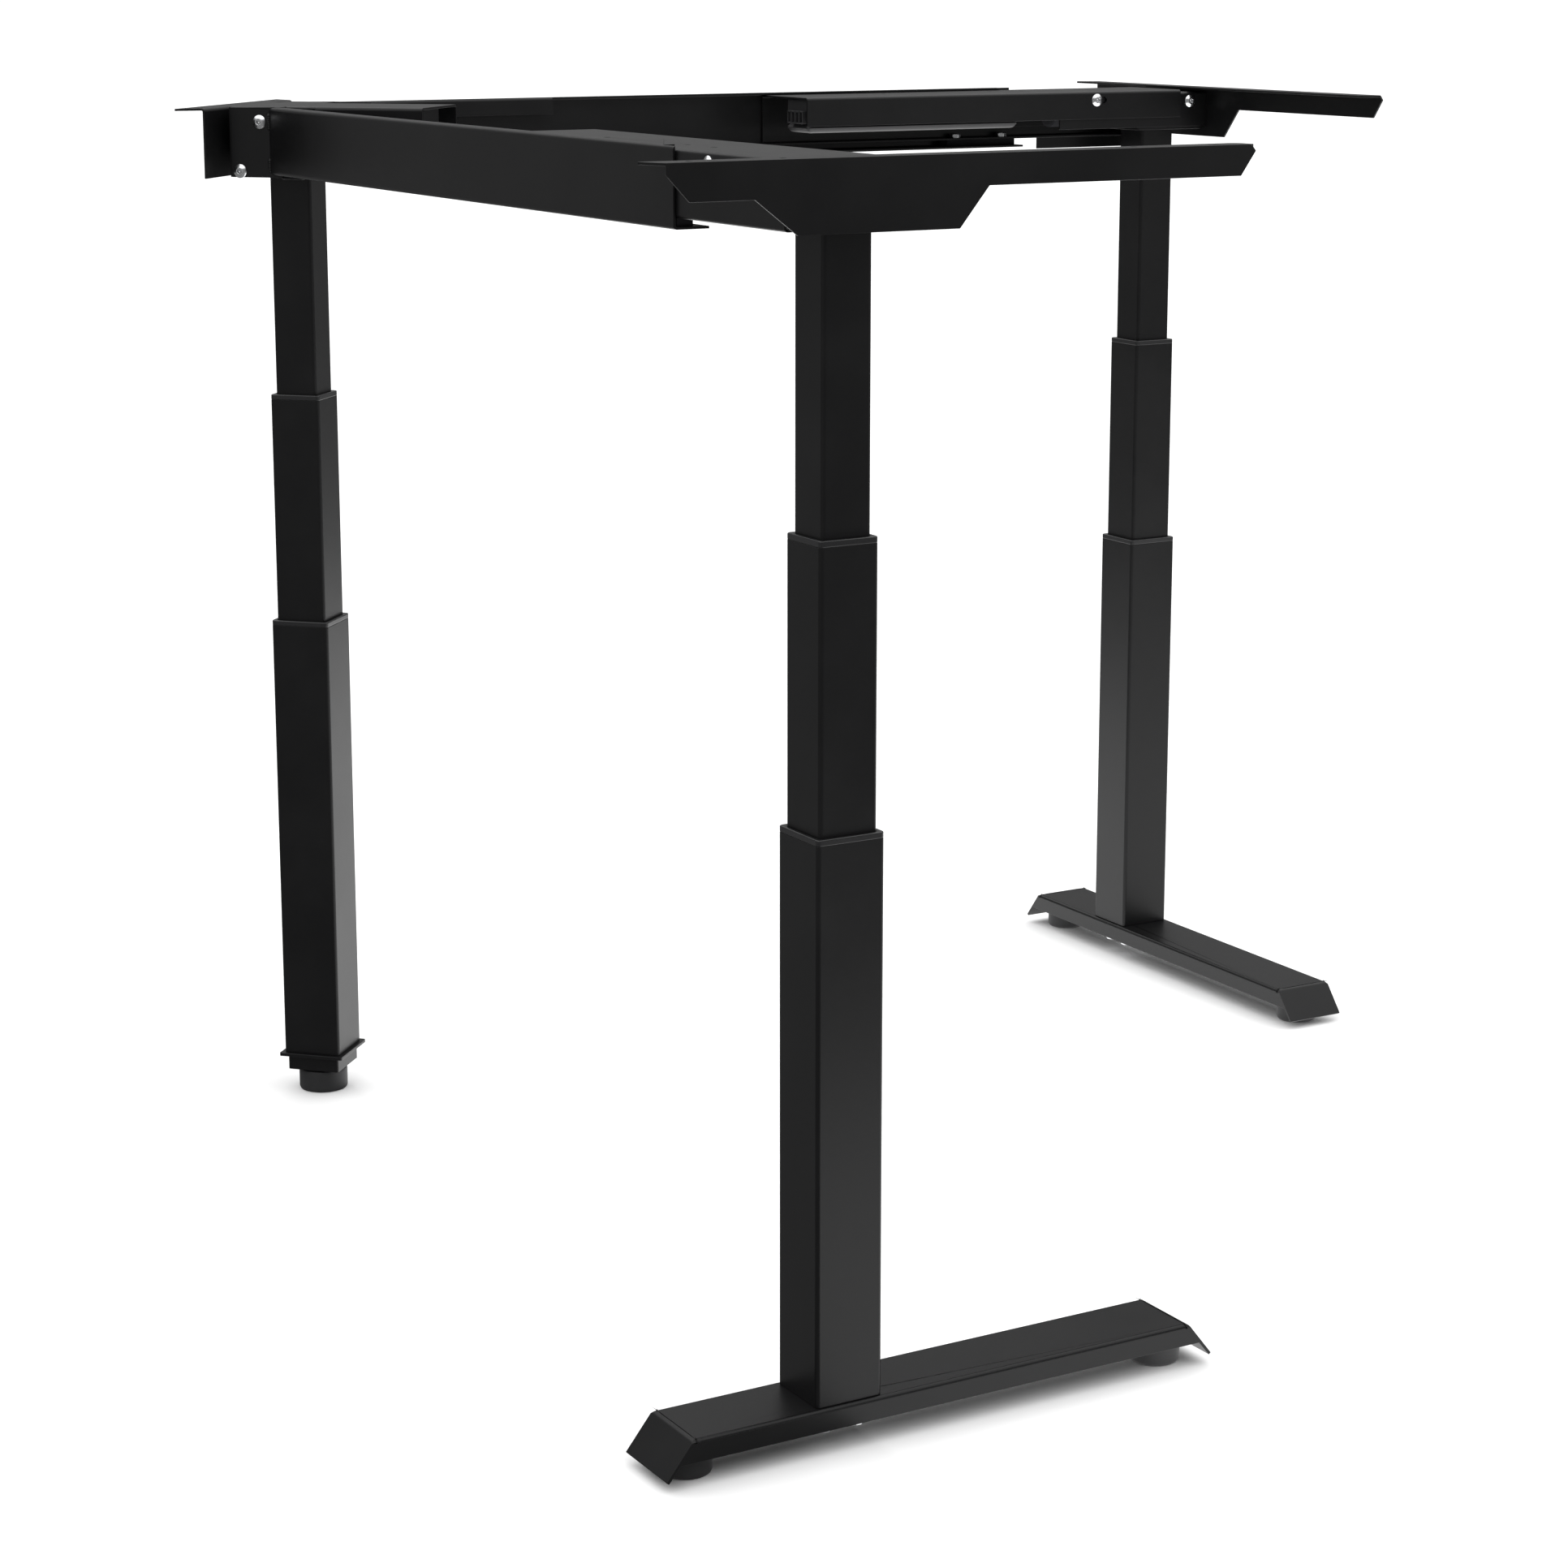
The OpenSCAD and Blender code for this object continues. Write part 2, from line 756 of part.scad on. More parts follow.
module end_outer_tube() {
    column_tube(outer_w, foot_top, outer_top - collar_h);
    column_base();
}

module foot_bolts()
    color("#c9cbcd")
        for (x = [-1, 1], y = [-1, 1])
            translate([x * foot_bolt_pitch / 2, y * foot_bolt_pitch / 2, stiffener_z])
                rotate([180, 0, 0])
                    hex_bolt(foot_top + base_plate_h - stiffener_z - 1);

module end_leveller(y) translate([0, y, 0]) leveller(pad_d, pad_h, stud_top);

// Control box of the drives, in beam B's place: the row of sockets is sunk in its inner end
module control_box()
    color("#141415")
        difference() {
            translate([sliding_start - 2, -rail_half + sheet + 1.6, sliding_top - sheet - box_h])
                rotate([90, 0, 90])
                    linear_extrude(box_length)
                        control_box_section();
            for (i = [0 : 3])
                translate([sliding_start - 3, -rail_half + 10 + 9.5 * i, sliding_top - sheet - 28])
                    cube([9, 7, 12]);
        }

module control_box_section() {
    r = 9;
    translate([0, r])
        square([box_w, box_h - r]);
    translate([r, 0])
        square([box_w - 2 * r, r + 1]);
    for (x = [r, box_w - r])
        translate([x, r])
            circle(r);
}

// ---------- legs A and B ----------

module leg_a_inner_tube() at_leg_a() inner_tube();
module leg_a_inner_glides() at_leg_a() glides(inner_w, middle_w, inner_bottom);
module leg_a_head() at_leg_a() end_head();
module leg_a_drive_motor() at_leg_a() drive_motor();
module leg_a_spindle() at_leg_a() spindle();
module leg_a_side_bracket() at_leg_a() side_bracket();
module beam_a_sliding_rail() on_side_a() sliding_rail();
module leg_a_head_bolts() on_side_a() head_bolts();
module leg_a_middle_tube() at_leg_a() middle_tube();
module leg_a_middle_collar() at_leg_a() collar(middle_w, inner_w, middle_top);
module leg_a_middle_glides() at_leg_a() glides(middle_w, outer_w, middle_bottom);
module leg_a_hollow_screw() at_leg_a() hollow_screw();
module leg_a_outer_tube() at_leg_a() end_outer_tube();
module leg_a_outer_collar() at_leg_a() collar(outer_w, middle_w, outer_top);
module leg_a_foot() at_leg_a() end_foot();
module leg_a_nut_tube() at_leg_a() nut_tube(foot_top + base_plate_h);
module leg_a_foot_bolts() at_leg_a() foot_bolts();
module leg_a_leveller_short() at_leg_a() end_leveller(leveller_places[0]);
module leg_a_leveller_long() at_leg_a() end_leveller(leveller_places[1]);

module leg_b_inner_tube() at_leg_b() inner_tube();
module leg_b_inner_glides() at_leg_b() glides(inner_w, middle_w, inner_bottom);
module leg_b_head() at_leg_b() end_head();
module leg_b_drive_motor() at_leg_b() drive_motor();
module leg_b_spindle() at_leg_b() spindle();
module leg_b_side_bracket() at_leg_b() side_bracket();
module beam_b_sliding_rail() sliding_rail();
module leg_b_head_bolts() head_bolts();
module leg_b_middle_tube() at_leg_b() middle_tube();
module leg_b_middle_collar() at_leg_b() collar(middle_w, inner_w, middle_top);
module leg_b_middle_glides() at_leg_b() glides(middle_w, outer_w, middle_bottom);
module leg_b_hollow_screw() at_leg_b() hollow_screw();
module leg_b_outer_tube() at_leg_b() end_outer_tube();
module leg_b_outer_collar() at_leg_b() collar(outer_w, middle_w, outer_top);
module leg_b_foot() at_leg_b() end_foot();
module leg_b_nut_tube() at_leg_b() nut_tube(foot_top + base_plate_h);
module leg_b_foot_bolts() at_leg_b() foot_bolts();
module leg_b_leveller_short() at_leg_b() end_leveller(leveller_places[0]);
module leg_b_leveller_long() at_leg_b() end_leveller(leveller_places[1]);

corner_outer_tube();
corner_outer_collar();
corner_foot();
corner_nut_tube();
corner_leveller();
corner_middle_tube();
corner_middle_collar();
corner_middle_glides();
corner_hollow_screw();
corner_inner_tube();
corner_inner_glides();
corner_head();
corner_head_ears();
corner_drive_motor();
corner_spindle();
corner_bracket();
beam_a_fixed_rail();
beam_b_fixed_rail();
beam_guide_blocks();
corner_bolts();
rail_clamp_bolts();
leg_a_inner_tube();
leg_a_inner_glides();
leg_a_head();
leg_a_drive_motor();
leg_a_spindle();
leg_a_side_bracket();
beam_a_sliding_rail();
leg_a_head_bolts();
leg_a_middle_tube();
leg_a_middle_collar();
leg_a_middle_glides();
leg_a_hollow_screw();
leg_a_outer_tube();
leg_a_outer_collar();
leg_a_foot();
leg_a_nut_tube();
leg_a_foot_bolts();
leg_a_leveller_short();
leg_a_leveller_long();
leg_b_inner_tube();
leg_b_inner_glides();
leg_b_head();
leg_b_drive_motor();
leg_b_spindle();
leg_b_side_bracket();
beam_b_sliding_rail();
leg_b_head_bolts();
control_box();
leg_b_middle_tube();
leg_b_middle_collar();
leg_b_middle_glides();
leg_b_hollow_screw();
leg_b_outer_tube();
leg_b_outer_collar();
leg_b_foot();
leg_b_nut_tube();
leg_b_foot_bolts();
leg_b_leveller_short();
leg_b_leveller_long();
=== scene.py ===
"""Looks of an L-shaped standing desk frame: finishes, formed pieces, studio and camera.

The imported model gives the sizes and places. Each class dresses or rebuilds one sub-assembly of the frame.
"""

import logging
import math
from collections.abc import Sequence
from dataclasses import dataclass, field
from enum import Enum

import bpy
import numpy as np
from mathutils import Matrix, Vector


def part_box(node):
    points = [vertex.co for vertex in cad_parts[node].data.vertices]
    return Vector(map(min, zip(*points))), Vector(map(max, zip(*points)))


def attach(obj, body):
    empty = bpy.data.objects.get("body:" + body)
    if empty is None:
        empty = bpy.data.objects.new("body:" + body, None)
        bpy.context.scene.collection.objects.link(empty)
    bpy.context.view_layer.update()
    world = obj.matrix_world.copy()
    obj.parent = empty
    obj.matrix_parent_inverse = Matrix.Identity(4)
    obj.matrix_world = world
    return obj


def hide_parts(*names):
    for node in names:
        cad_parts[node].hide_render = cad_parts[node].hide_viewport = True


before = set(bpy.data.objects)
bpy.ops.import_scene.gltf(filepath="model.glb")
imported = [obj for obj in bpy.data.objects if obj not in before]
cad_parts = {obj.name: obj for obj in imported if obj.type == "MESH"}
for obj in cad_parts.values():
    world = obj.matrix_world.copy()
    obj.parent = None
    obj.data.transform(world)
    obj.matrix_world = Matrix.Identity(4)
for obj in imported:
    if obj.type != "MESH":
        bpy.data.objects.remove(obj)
log = logging.getLogger("desk_frame")

MM = 0.001
Array = np.ndarray
Rgb = tuple[float, float, float]


# ---------------------------------------------------------------- surfaces


@dataclass(frozen=True)
class Shape:
    """A closed surface, or several, as plain arrays.

    Attributes:
        points: vertex places, one row each, in metres.
        quads: four vertex numbers a face; a triangle repeats its last one.
    """

    points: Array
    quads: Array

    def __add__(self, other: "Shape") -> "Shape":
        """Both surfaces in one."""
        return Shape(
            np.vstack([self.points, other.points]),
            np.vstack([self.quads, other.quads + len(self.points)]),
        )

    def placed(self, matrix: Array) -> "Shape":
        """The surface under a 4 by 4 matrix, turned right side out again if the matrix mirrors it."""
        moved = self.points @ matrix[:3, :3].T + matrix[:3, 3]
        mirrored = np.linalg.det(matrix[:3, :3]) < 0
        return Shape(moved, self.quads[:, ::-1] if mirrored else self.quads)


def grid_shape(points: Array, around: bool = True, caps: bool = False) -> Shape:
    """Closes a grid of points into a surface that faces outwards.

    The rows always close on the first point of each row. The volume under the faces, the sum of
    a . (b x c) over the triangles, is negative when the grid runs inside out, and then it is turned.

    Args:
        points: rows by columns by 3.
        around: whether the last row also joins the first one, as on a ring.
        caps: whether the first and last rows are folded sheet ends, closed by pairing their columns
            from both ends of the row.

    Returns:
        The surface, with coincident points merged.
    """
    rows, cols = points.shape[:2]
    number = np.arange(rows * cols).reshape(rows, cols)
    last = number if around else number[:-1]
    upper = np.roll(number, -1, axis=0) if around else number[1:]
    a, b = last, upper
    quads = np.stack([a, np.roll(a, -1, axis=1), np.roll(b, -1, axis=1), b], axis=-1).reshape(-1, 4)
    if caps:
        half = np.arange(cols // 2 - 1)
        mate = cols - 1 - half
        start = np.stack([half, mate, mate - 1, half + 1], axis=-1)
        end = start[:, ::-1] + (rows - 1) * cols
        quads = np.vstack([quads, start, end])
    flat = points.reshape(-1, 3)
    _, keep, merged = np.unique(np.round(flat, 7), axis=0, return_index=True, return_inverse=True)
    flat, quads = flat[keep], merged.reshape(-1)[quads]
    corners = flat[quads]
    first = np.einsum("ij,ij->i", corners[:, 0], np.cross(corners[:, 1], corners[:, 2]))
    second = np.einsum("ij,ij->i", corners[:, 0], np.cross(corners[:, 2], corners[:, 3]))
    return Shape(flat, quads[:, ::-1] if (first + second).sum() < 0 else quads)


def round_corners(points: Sequence[Sequence[float]], radius: float, steps: int = 4, closed: bool = True) -> Array:
    """Puts an arc in each corner of a polyline, with a point just before and after each arc.

    The arc's centre lies on the corner's bisector at radius / sin(half the corner's angle), and its points
    turn evenly from one tangent point to the other. The extra points keep the shading of the flats flat.

    Args:
        points: the polyline's corners in order.
        radius: the arcs' radius; a corner between short sides takes what fits.
        steps: segments of each arc.
        closed: whether the last point joins the first; if not, the two ends stay as they are.

    Returns:
        The rounded polyline.
    """
    p = np.asarray(points, float)
    back, ahead = np.roll(p, 1, axis=0) - p, np.roll(p, -1, axis=0) - p
    room = np.minimum(np.linalg.norm(back, axis=1), np.linalg.norm(ahead, axis=1))
    a = back / np.maximum(np.linalg.norm(back, axis=1, keepdims=True), 1e-12)
    b = ahead / np.maximum(np.linalg.norm(ahead, axis=1, keepdims=True), 1e-12)
    angle = np.arccos(np.clip((a * b).sum(1), -0.99999, 0.99999))
    tangent = np.minimum(radius / np.tan(angle / 2), 0.40 * room)
    margin = np.minimum(0.35 * tangent, 0.06 * room)
    fitted = tangent * np.tan(angle / 2)
    bisector = (a + b) / np.maximum(np.linalg.norm(a + b, axis=1, keepdims=True), 1e-12)
    centre = p + bisector * (fitted / np.sin(angle / 2))[:, None]
    start, end = p + a * tangent[:, None] - centre, p + b * tangent[:, None] - centre
    turn = np.pi - angle
    s = np.linspace(0, 1, steps + 1)[None, :, None]
    turn3 = turn[:, None, None]
    arc = (np.sin((1 - s) * turn3) * start[:, None] + np.sin(s * turn3) * end[:, None]) / np.sin(turn3)
    arc = arc + centre[:, None]
    before = p + a * (tangent + margin)[:, None]
    after = p + b * (tangent + margin)[:, None]
    full = np.concatenate([before[:, None], arc, after[:, None]], axis=1)
    if closed:
        return full.reshape(-1, p.shape[1])
    return np.vstack([p[:1], full[1:-1].reshape(-1, p.shape[1]), p[-1:]])


def rounded_rectangle(width: float, depth: float, radius: float, steps: int = 6) -> Array:
    """A closed loop round a rectangle with arcs in its corners, centred on the origin."""
    x, y = width / 2, depth / 2
    return round_corners([(-x, -y), (x, -y), (x, y), (-x, y)], radius, steps)


def turned(profile: Array, sides: int = 48) -> Shape:
    """Turns a profile of (radius, height) points round the z axis.

    A profile that starts and ends on the axis closes there; any other is taken as a closed ring.
    """
    angle = np.linspace(0, 2 * np.pi, sides, endpoint=False)
    radius, height = profile[:, :1], profile[:, 1:]
    points = np.stack([radius * np.cos(angle), radius * np.sin(angle), height + 0 * angle], axis=-1)
    on_axis = abs(profile[0, 0]) < 1e-9 and abs(profile[-1, 0]) < 1e-9
    return grid_shape(points, around=not on_axis)


def squared(profile: Array, half: Sequence[float], radius: Sequence[float]) -> Shape:
    """Carries a closed profile of (half width, height) points round a square with rounded corners.

    Args:
        profile: the ring's cross section.
        half: two half widths, inner then outer.
        radius: the corner radius at each of them; between them it changes evenly.
    """
    loops = [
        rounded_rectangle(2 * h, 2 * h, float(np.interp(h, half, radius)), 8)
        for h in profile[:, 0]
    ]
    points = np.stack(loops)
    height = np.broadcast_to(profile[:, 1][:, None, None], points.shape[:2] + (1,))
    return grid_shape(np.concatenate([points, height], axis=-1))


def hexagon_radius(angle: Array, flats: float) -> Array:
    """Distance from a hexagon's centre to its edge: half the flats over the cosine of the angle to the nearest flat."""
    return flats / 2 / np.cos((angle + np.pi / 6) % (np.pi / 3) - np.pi / 6)


def hex_bolt(shank: float, flats: float = 13 * MM, height: float = 5.3 * MM, bolt: float = 4 * MM) -> Shape:
    """A hexagon bolt, head up from the origin and shank down.

    The head is the smaller, at each angle and height, of a hexagon and a cone, which leaves the usual
    curved chamfer on its corners. A shallow dish is sunk in its top.
    """
    angle = np.linspace(0, 2 * np.pi, 48, endpoint=False)
    rise = np.array([0, 0.25, height / MM - 1.1, height / MM - 0.7, height / MM - 0.35, height / MM]) * MM
    cone = flats / 2 + np.array([0.1, 1.2, 1.2, 0.8, 0.35, -0.25]) * MM
    head = np.minimum(hexagon_radius(angle, flats)[None], cone[:, None])
    inner = np.array([0.72, 0.66, 0.0])[:, None] * flats / 2 + 0 * angle[None]
    below = np.array([0.0, bolt - 0.5 * MM, bolt, bolt, bolt + 0.2 * MM])[:, None] + 0 * angle[None]
    radius = np.vstack([below, head, inner])
    low = np.array([-shank, -shank, -shank + 0.5 * MM, -0.1 * MM, 0])
    top = np.array([height, height - 0.35 * MM, height - 0.35 * MM])
    z = np.concatenate([low, rise, top])[:, None] + 0 * angle[None]
    return grid_shape(np.stack([radius * np.cos(angle), radius * np.sin(angle), z], axis=-1), around=False)


def button_bolt(shank: float, head: float = 8 * MM, height: float = 3.6 * MM, bolt: float = 4 * MM) -> Shape:
    """A button-headed bolt with a hexagon socket, head up from the origin and shank down.

    The dome's height falls with the square of the radius. The socket's rows follow a hexagon.
    """
    angle = np.linspace(0, 2 * np.pi, 48, endpoint=False)
    share = np.array([1.0, 0.97, 0.9, 0.78, 0.64, 0.5])
    dome_r = head * share
    dome_z = height * (1 - 0.82 * share**2)
    dome_z[0] = 0.5 * MM
    rows_r = [0 * angle, bolt + 0 * angle, bolt + 0 * angle, 0.96 * head + 0 * angle, head + 0 * angle]
    rows_z = [-shank, -shank, 0.0, 0.0, 0.2 * MM]
    rows_r += [r + 0 * angle for r in dome_r]
    rows_z += list(dome_z)
    socket = hexagon_radius(angle, 5 * MM)
    rows_r += [socket + 0.35 * MM, socket, socket, 0 * angle]
    rows_z += [dome_z[-1] + 0.1 * MM, dome_z[-1] - 0.3 * MM, 0.8 * MM, 0.5 * MM]
    radius, z = np.array(rows_r), np.array(rows_z)[:, None] + 0 * angle
    return grid_shape(np.stack([radius * np.cos(angle), radius * np.sin(angle), z], axis=-1), around=False)


def thread_rows(crest: float, depth: float, pitch: float, low: float, high: float, sides: int) -> tuple[Array, Array]:
    """Radius and height of a screw thread on a grid of heights by angles.

    The radius falls from the crest by the depth times a clipped triangle wave of the turns travelled,
    height / pitch less angle / full turn, which leaves flat crests and roots. The thread runs out over its
    last pitch at both ends.
    """
    angle = np.linspace(0, 2 * np.pi, sides, endpoint=False)
    count = int((high - low) / pitch * 8) + 1
    z = np.linspace(low, high, count)
    turns = z[:, None] / pitch - angle[None] / (2 * np.pi)
    wave = np.abs((turns % 1.0) * 2 - 1)
    cut = np.clip(wave * 1.9 - 0.45, 0, 1)
    fade = np.clip(np.minimum(z - low, high - z) / pitch, 0, 1)[:, None]
    return crest - depth * (1 - fade * (1 - cut)), z[:, None] + 0 * angle[None]


def turned_rows(radius: Array, z: Array, around: bool) -> Shape:
    """A surface from radius and height grids whose columns go once round the z axis."""
    angle = np.linspace(0, 2 * np.pi, radius.shape[1], endpoint=False)
    return grid_shape(np.stack([radius * np.cos(angle), radius * np.sin(angle), z], axis=-1), around=around)


def threaded_rod(crest: float, depth: float, pitch: float, low: float, high: float, sides: int = 24) -> Shape:
    """A solid rod with a thread along it and flat ends."""
    radius, z = thread_rows(crest, depth, pitch, low, high, sides)
    radius = np.vstack([0 * radius[:1], radius, 0 * radius[:1]])
    z = np.vstack([z[:1], z, z[-1:]])
    return turned_rows(radius, z, around=False)


def weld_bead(start: Sequence[float], end: Sequence[float], size: float = 2.2 * MM) -> Shape:
    """A ripple weld from start to end.

    The bead is a round section carried along a line. Its radius is the size times one plus a small sine of
    the distance, and falls as the root of the distance from each end.
    """
    a, b = np.asarray(start, float), np.asarray(end, float)
    length = np.linalg.norm(b - a)
    axis = (b - a) / length
    side = np.cross(axis, [0.0, 0.0, 1.0])
    side = np.array([1.0, 0.0, 0.0]) if np.linalg.norm(side) < 1e-6 else side / np.linalg.norm(side)
    up = np.cross(axis, side)
    s = np.linspace(0, length, max(12, int(length / (0.5 * MM))))
    ends = np.clip(np.minimum(s, length - s) / (2.5 * MM), 0, 1) ** 0.5
    radius = size * ends * (1 + 0.10 * np.sin(2 * np.pi * s / (2.4 * MM)))
    angle = np.linspace(0, 2 * np.pi, 12, endpoint=False)
    ring = np.cos(angle)[:, None] * side + np.sin(angle)[:, None] * up
    points = a + s[:, None, None] * axis + radius[:, None, None] * ring[None]
    return grid_shape(points, around=False)


def rounded_block(low: Sequence[float], high: Sequence[float], radius: float, edge: float) -> Shape:
    """A block whose upright corners have a radius and whose top and bottom edges are rounded by a smaller one.

    The rows are the block's outline drawn in by an amount that follows a quarter circle at both ends.
    """
    low, high = np.asarray(low, float), np.asarray(high, float)
    size, middle = high - low, (high + low) / 2
    turn = np.linspace(0, np.pi / 2, 5)
    inset = edge * (1 - np.sin(turn))
    lift = edge * (1 - np.cos(turn))
    insets = np.concatenate([[min(size[:2]) / 2 - radius / 4], [1.6 * edge], inset, inset[::-1], [1.6 * edge],
                             [min(size[:2]) / 2 - radius / 4]])
    heights = np.concatenate([[low[2], low[2]], low[2] + lift, high[2] - lift[::-1], [high[2], high[2]]])
    rows = [
        rounded_rectangle(size[0] - 2 * i, size[1] - 2 * i, max(radius - i, 0.15 * MM), 5) + middle[:2]
        for i in insets
    ]
    points = np.stack(rows)
    centre = np.broadcast_to(middle[:2], (1,) + points.shape[1:])
    points = np.concatenate([centre, points, centre])
    z = np.concatenate([heights[:1], heights, heights[-1:]])[:, None, None]
    return grid_shape(np.concatenate([points, z + 0 * points[..., :1]], axis=-1), around=False)


def moved(x: float = 0.0, y: float = 0.0, z: float = 0.0) -> Array:
    """A 4 by 4 matrix that moves by x, y and z."""
    return np.array(Matrix.Translation((x, y, z)))


def turned_about(axis: str, degrees: float) -> Array:
    """A 4 by 4 matrix that turns about one axis."""
    return np.array(Matrix.Rotation(math.radians(degrees), 4, axis))


# ---------------------------------------------------------------- finishes


class Value:
    """A socket that takes part in arithmetic; each operation adds its Math node."""

    def __init__(self, shader: "Shader", socket: bpy.types.NodeSocket) -> None:
        """Wraps a socket of a shader's tree."""
        self.shader = shader
        self.socket = socket

    def _with(self, operation: str, first: object, second: object) -> "Value":
        """The result of a Math node on two values."""
        node = self.shader.node("ShaderNodeMath", {"operation": operation}, {0: first, 1: second})
        return Value(self.shader, node.outputs[0])

    def __add__(self, other: object) -> "Value":
        """self + other."""
        return self._with("ADD", self, other)

    __radd__ = __add__

    def __sub__(self, other: object) -> "Value":
        """self - other."""
        return self._with("SUBTRACT", self, other)

    def __rsub__(self, other: object) -> "Value":
        """other - self."""
        return self._with("SUBTRACT", other, self)

    def __mul__(self, other: object) -> "Value":
        """self * other."""
        return self._with("MULTIPLY", self, other)

    __rmul__ = __mul__


class Shader:
    """One procedural material built on a Principled shader."""

    def __init__(self, name: str, constants: dict[str, object]) -> None:
        """Makes the material and sets the shader's own sockets.

        Args:
            name: the material's name.
            constants: the shader's socket names and their fixed values.
        """
        self.material = bpy.data.materials.new(name)
        self.material.use_nodes = True
        self.tree = self.material.node_tree
        self.bsdf = self.tree.nodes["Principled BSDF"]
        for socket, value in constants.items():
            self.bsdf.inputs[socket].default_value = value
        self.place = self.node("ShaderNodeTexCoord", {}, {}).outputs["Object"]

    def node(self, kind: str, settings: dict[str, object], inputs: dict[object, object]) -> bpy.types.Node:
        """Adds a node.

        Args:
            kind: the node's type.
            settings: its properties, set first; "stops" gives a ramp's (position, colour) pairs.
            inputs: socket names or numbers with a number, colour, socket or Value for each.

        Returns:
            The node.
        """
        node = self.tree.nodes.new(kind)
        for key, value in settings.items():
            if key == "stops":
                for stop, (position, colour) in zip(self._stops(node, len(value)), value):
                    stop.position = position
                    stop.color = colour
            else:
                setattr(node, key, value)
        for key, value in inputs.items():
            self.feed(node.inputs[key], value)
        return node

    @staticmethod
    def _stops(node: bpy.types.Node, count: int) -> list[bpy.types.ColorRampElement]:
        """A ramp's stops, as many as asked for."""
        elements = node.color_ramp.elements
        while len(elements) < count:
            elements.new(0.5)
        return list(elements)

    def feed(self, socket: bpy.types.NodeSocket, value: object) -> None:
        """Gives a socket a number or colour, or links it to another socket or Value."""
        if isinstance(value, Value):
            value = value.socket
        if isinstance(value, bpy.types.NodeSocket):
            self.tree.links.new(value, socket)
        else:
            socket.default_value = value

    def noise(self, scale: float, detail: float = 2.0, roughness: float = 0.5) -> Value:
        """Noise on the object's own coordinates; scale counts features in a metre."""
        settings = {"noise_dimensions": "3D"}
        inputs = {"Vector": self.place, "Scale": scale, "Detail": detail, "Roughness": roughness}
        return Value(self, self.node("ShaderNodeTexNoise", settings, inputs).outputs[0])

    def cells(self, scale: float) -> Value:
        """Distance to the nearest cell centre; scale counts cells in a metre."""
        node = self.node("ShaderNodeTexVoronoi", {"feature": "F1"}, {"Vector": self.place, "Scale": scale})
        return Value(self, node.outputs["Distance"])

    def streaks(self, scale: Sequence[float], detail: float = 3.0) -> Value:
        """Noise drawn out by a different scale on each axis, as along a drawn or ground face."""
        stretched = self.node("ShaderNodeMapping", {}, {"Vector": self.place, "Scale": tuple(scale)}).outputs[0]
        inputs = {"Vector": stretched, "Scale": 1.0, "Detail": detail}
        return Value(self, self.node("ShaderNodeTexNoise", {"noise_dimensions": "3D"}, inputs).outputs[0])

    def between(self, value: Value, low: float, high: float) -> Value:
        """A value kept between two limits and spread over 0 to 1, smoothly."""
        settings = {"interpolation_type": "SMOOTHSTEP", "clamp": True}
        inputs = {"Value": value, "From Min": low, "From Max": high, "To Min": 0.0, "To Max": 1.0}
        return Value(self, self.node("ShaderNodeMapRange", settings, inputs).outputs[0])

    def mixed(self, share: Value, first: Rgb, second: Rgb) -> bpy.types.NodeSocket:
        """A colour that goes from the first to the second as share goes from 0 to 1."""
        node = self.node("ShaderNodeMix", {"data_type": "RGBA"}, {0: share, 6: (*first, 1.0), 7: (*second, 1.0)})
        return node.outputs[2]

    def paint(self, colour: object, roughness: Value) -> None:
        """Feeds the shader's colour and roughness."""
        self.feed(self.bsdf.inputs["Base Color"], colour)
        self.feed(self.bsdf.inputs["Roughness"], roughness)

    def relief(self, height: Value, depth: float, strength: float = 1.0) -> None:
        """Raises the surface by a height between 0 and 1 times a depth in metres."""
        inputs = {"Height": height, "Distance": depth, "Strength": strength}
        self.feed(self.bsdf.inputs["Normal"], self.node("ShaderNodeBump", {}, inputs).outputs[0])


@dataclass(frozen=True)
class PowderCoat:
    """Sprayed and baked black coat: a fine orange peel, faint clouds in its gloss, a little settled dust."""

    name: str = "black_powder_coat"
    colour: Rgb = (0.0035, 0.0035, 0.0038)
    faded: Rgb = (0.0060, 0.0060, 0.0063)
    roughness: float = 0.36
    gloss: float = 0.22
    peel: float = 0.030 * MM

    def build(self) -> bpy.types.Material:
        """The coat's material."""
        shader = Shader(self.name, {"Specular IOR Level": self.gloss})
        peel = shader.noise(900.0, 2.0, 0.55)
        grain = shader.noise(3800.0, 1.0)
        clouds = shader.noise(7.0, 3.0, 0.6)
        dust = shader.between(shader.cells(260.0), 0.055, 0.02)
        shader.paint(
            shader.mixed(shader.between(clouds + dust * 0.3, 0.3, 0.8), self.colour, self.faded),
            self.roughness + (clouds - 0.5) * 0.10 + (peel - 0.5) * 0.05 + dust * 0.12,
        )
        shader.relief(peel * 0.7 + grain * 0.3, self.peel)
        return shader.material


@dataclass(frozen=True)
class Moulded:
    """Moulded plastic: an eroded texture with worn gloss in patches."""

    name: str
    colour: Rgb
    lighter: Rgb
    roughness: float
    texture: float
    depth: float

    def build(self) -> bpy.types.Material:
        """The plastic's material."""
        shader = Shader(self.name, {"Specular IOR Level": 0.5})
        texture = shader.noise(self.texture, 3.0, 0.65)
        patches = shader.noise(24.0, 2.0)
        shader.paint(
            shader.mixed(shader.between(texture, 0.35, 0.75), self.colour, self.lighter),
            self.roughness + (patches - 0.5) * 0.12 + (texture - 0.5) * 0.08,
        )
        shader.relief(texture, self.depth)
        return shader.material


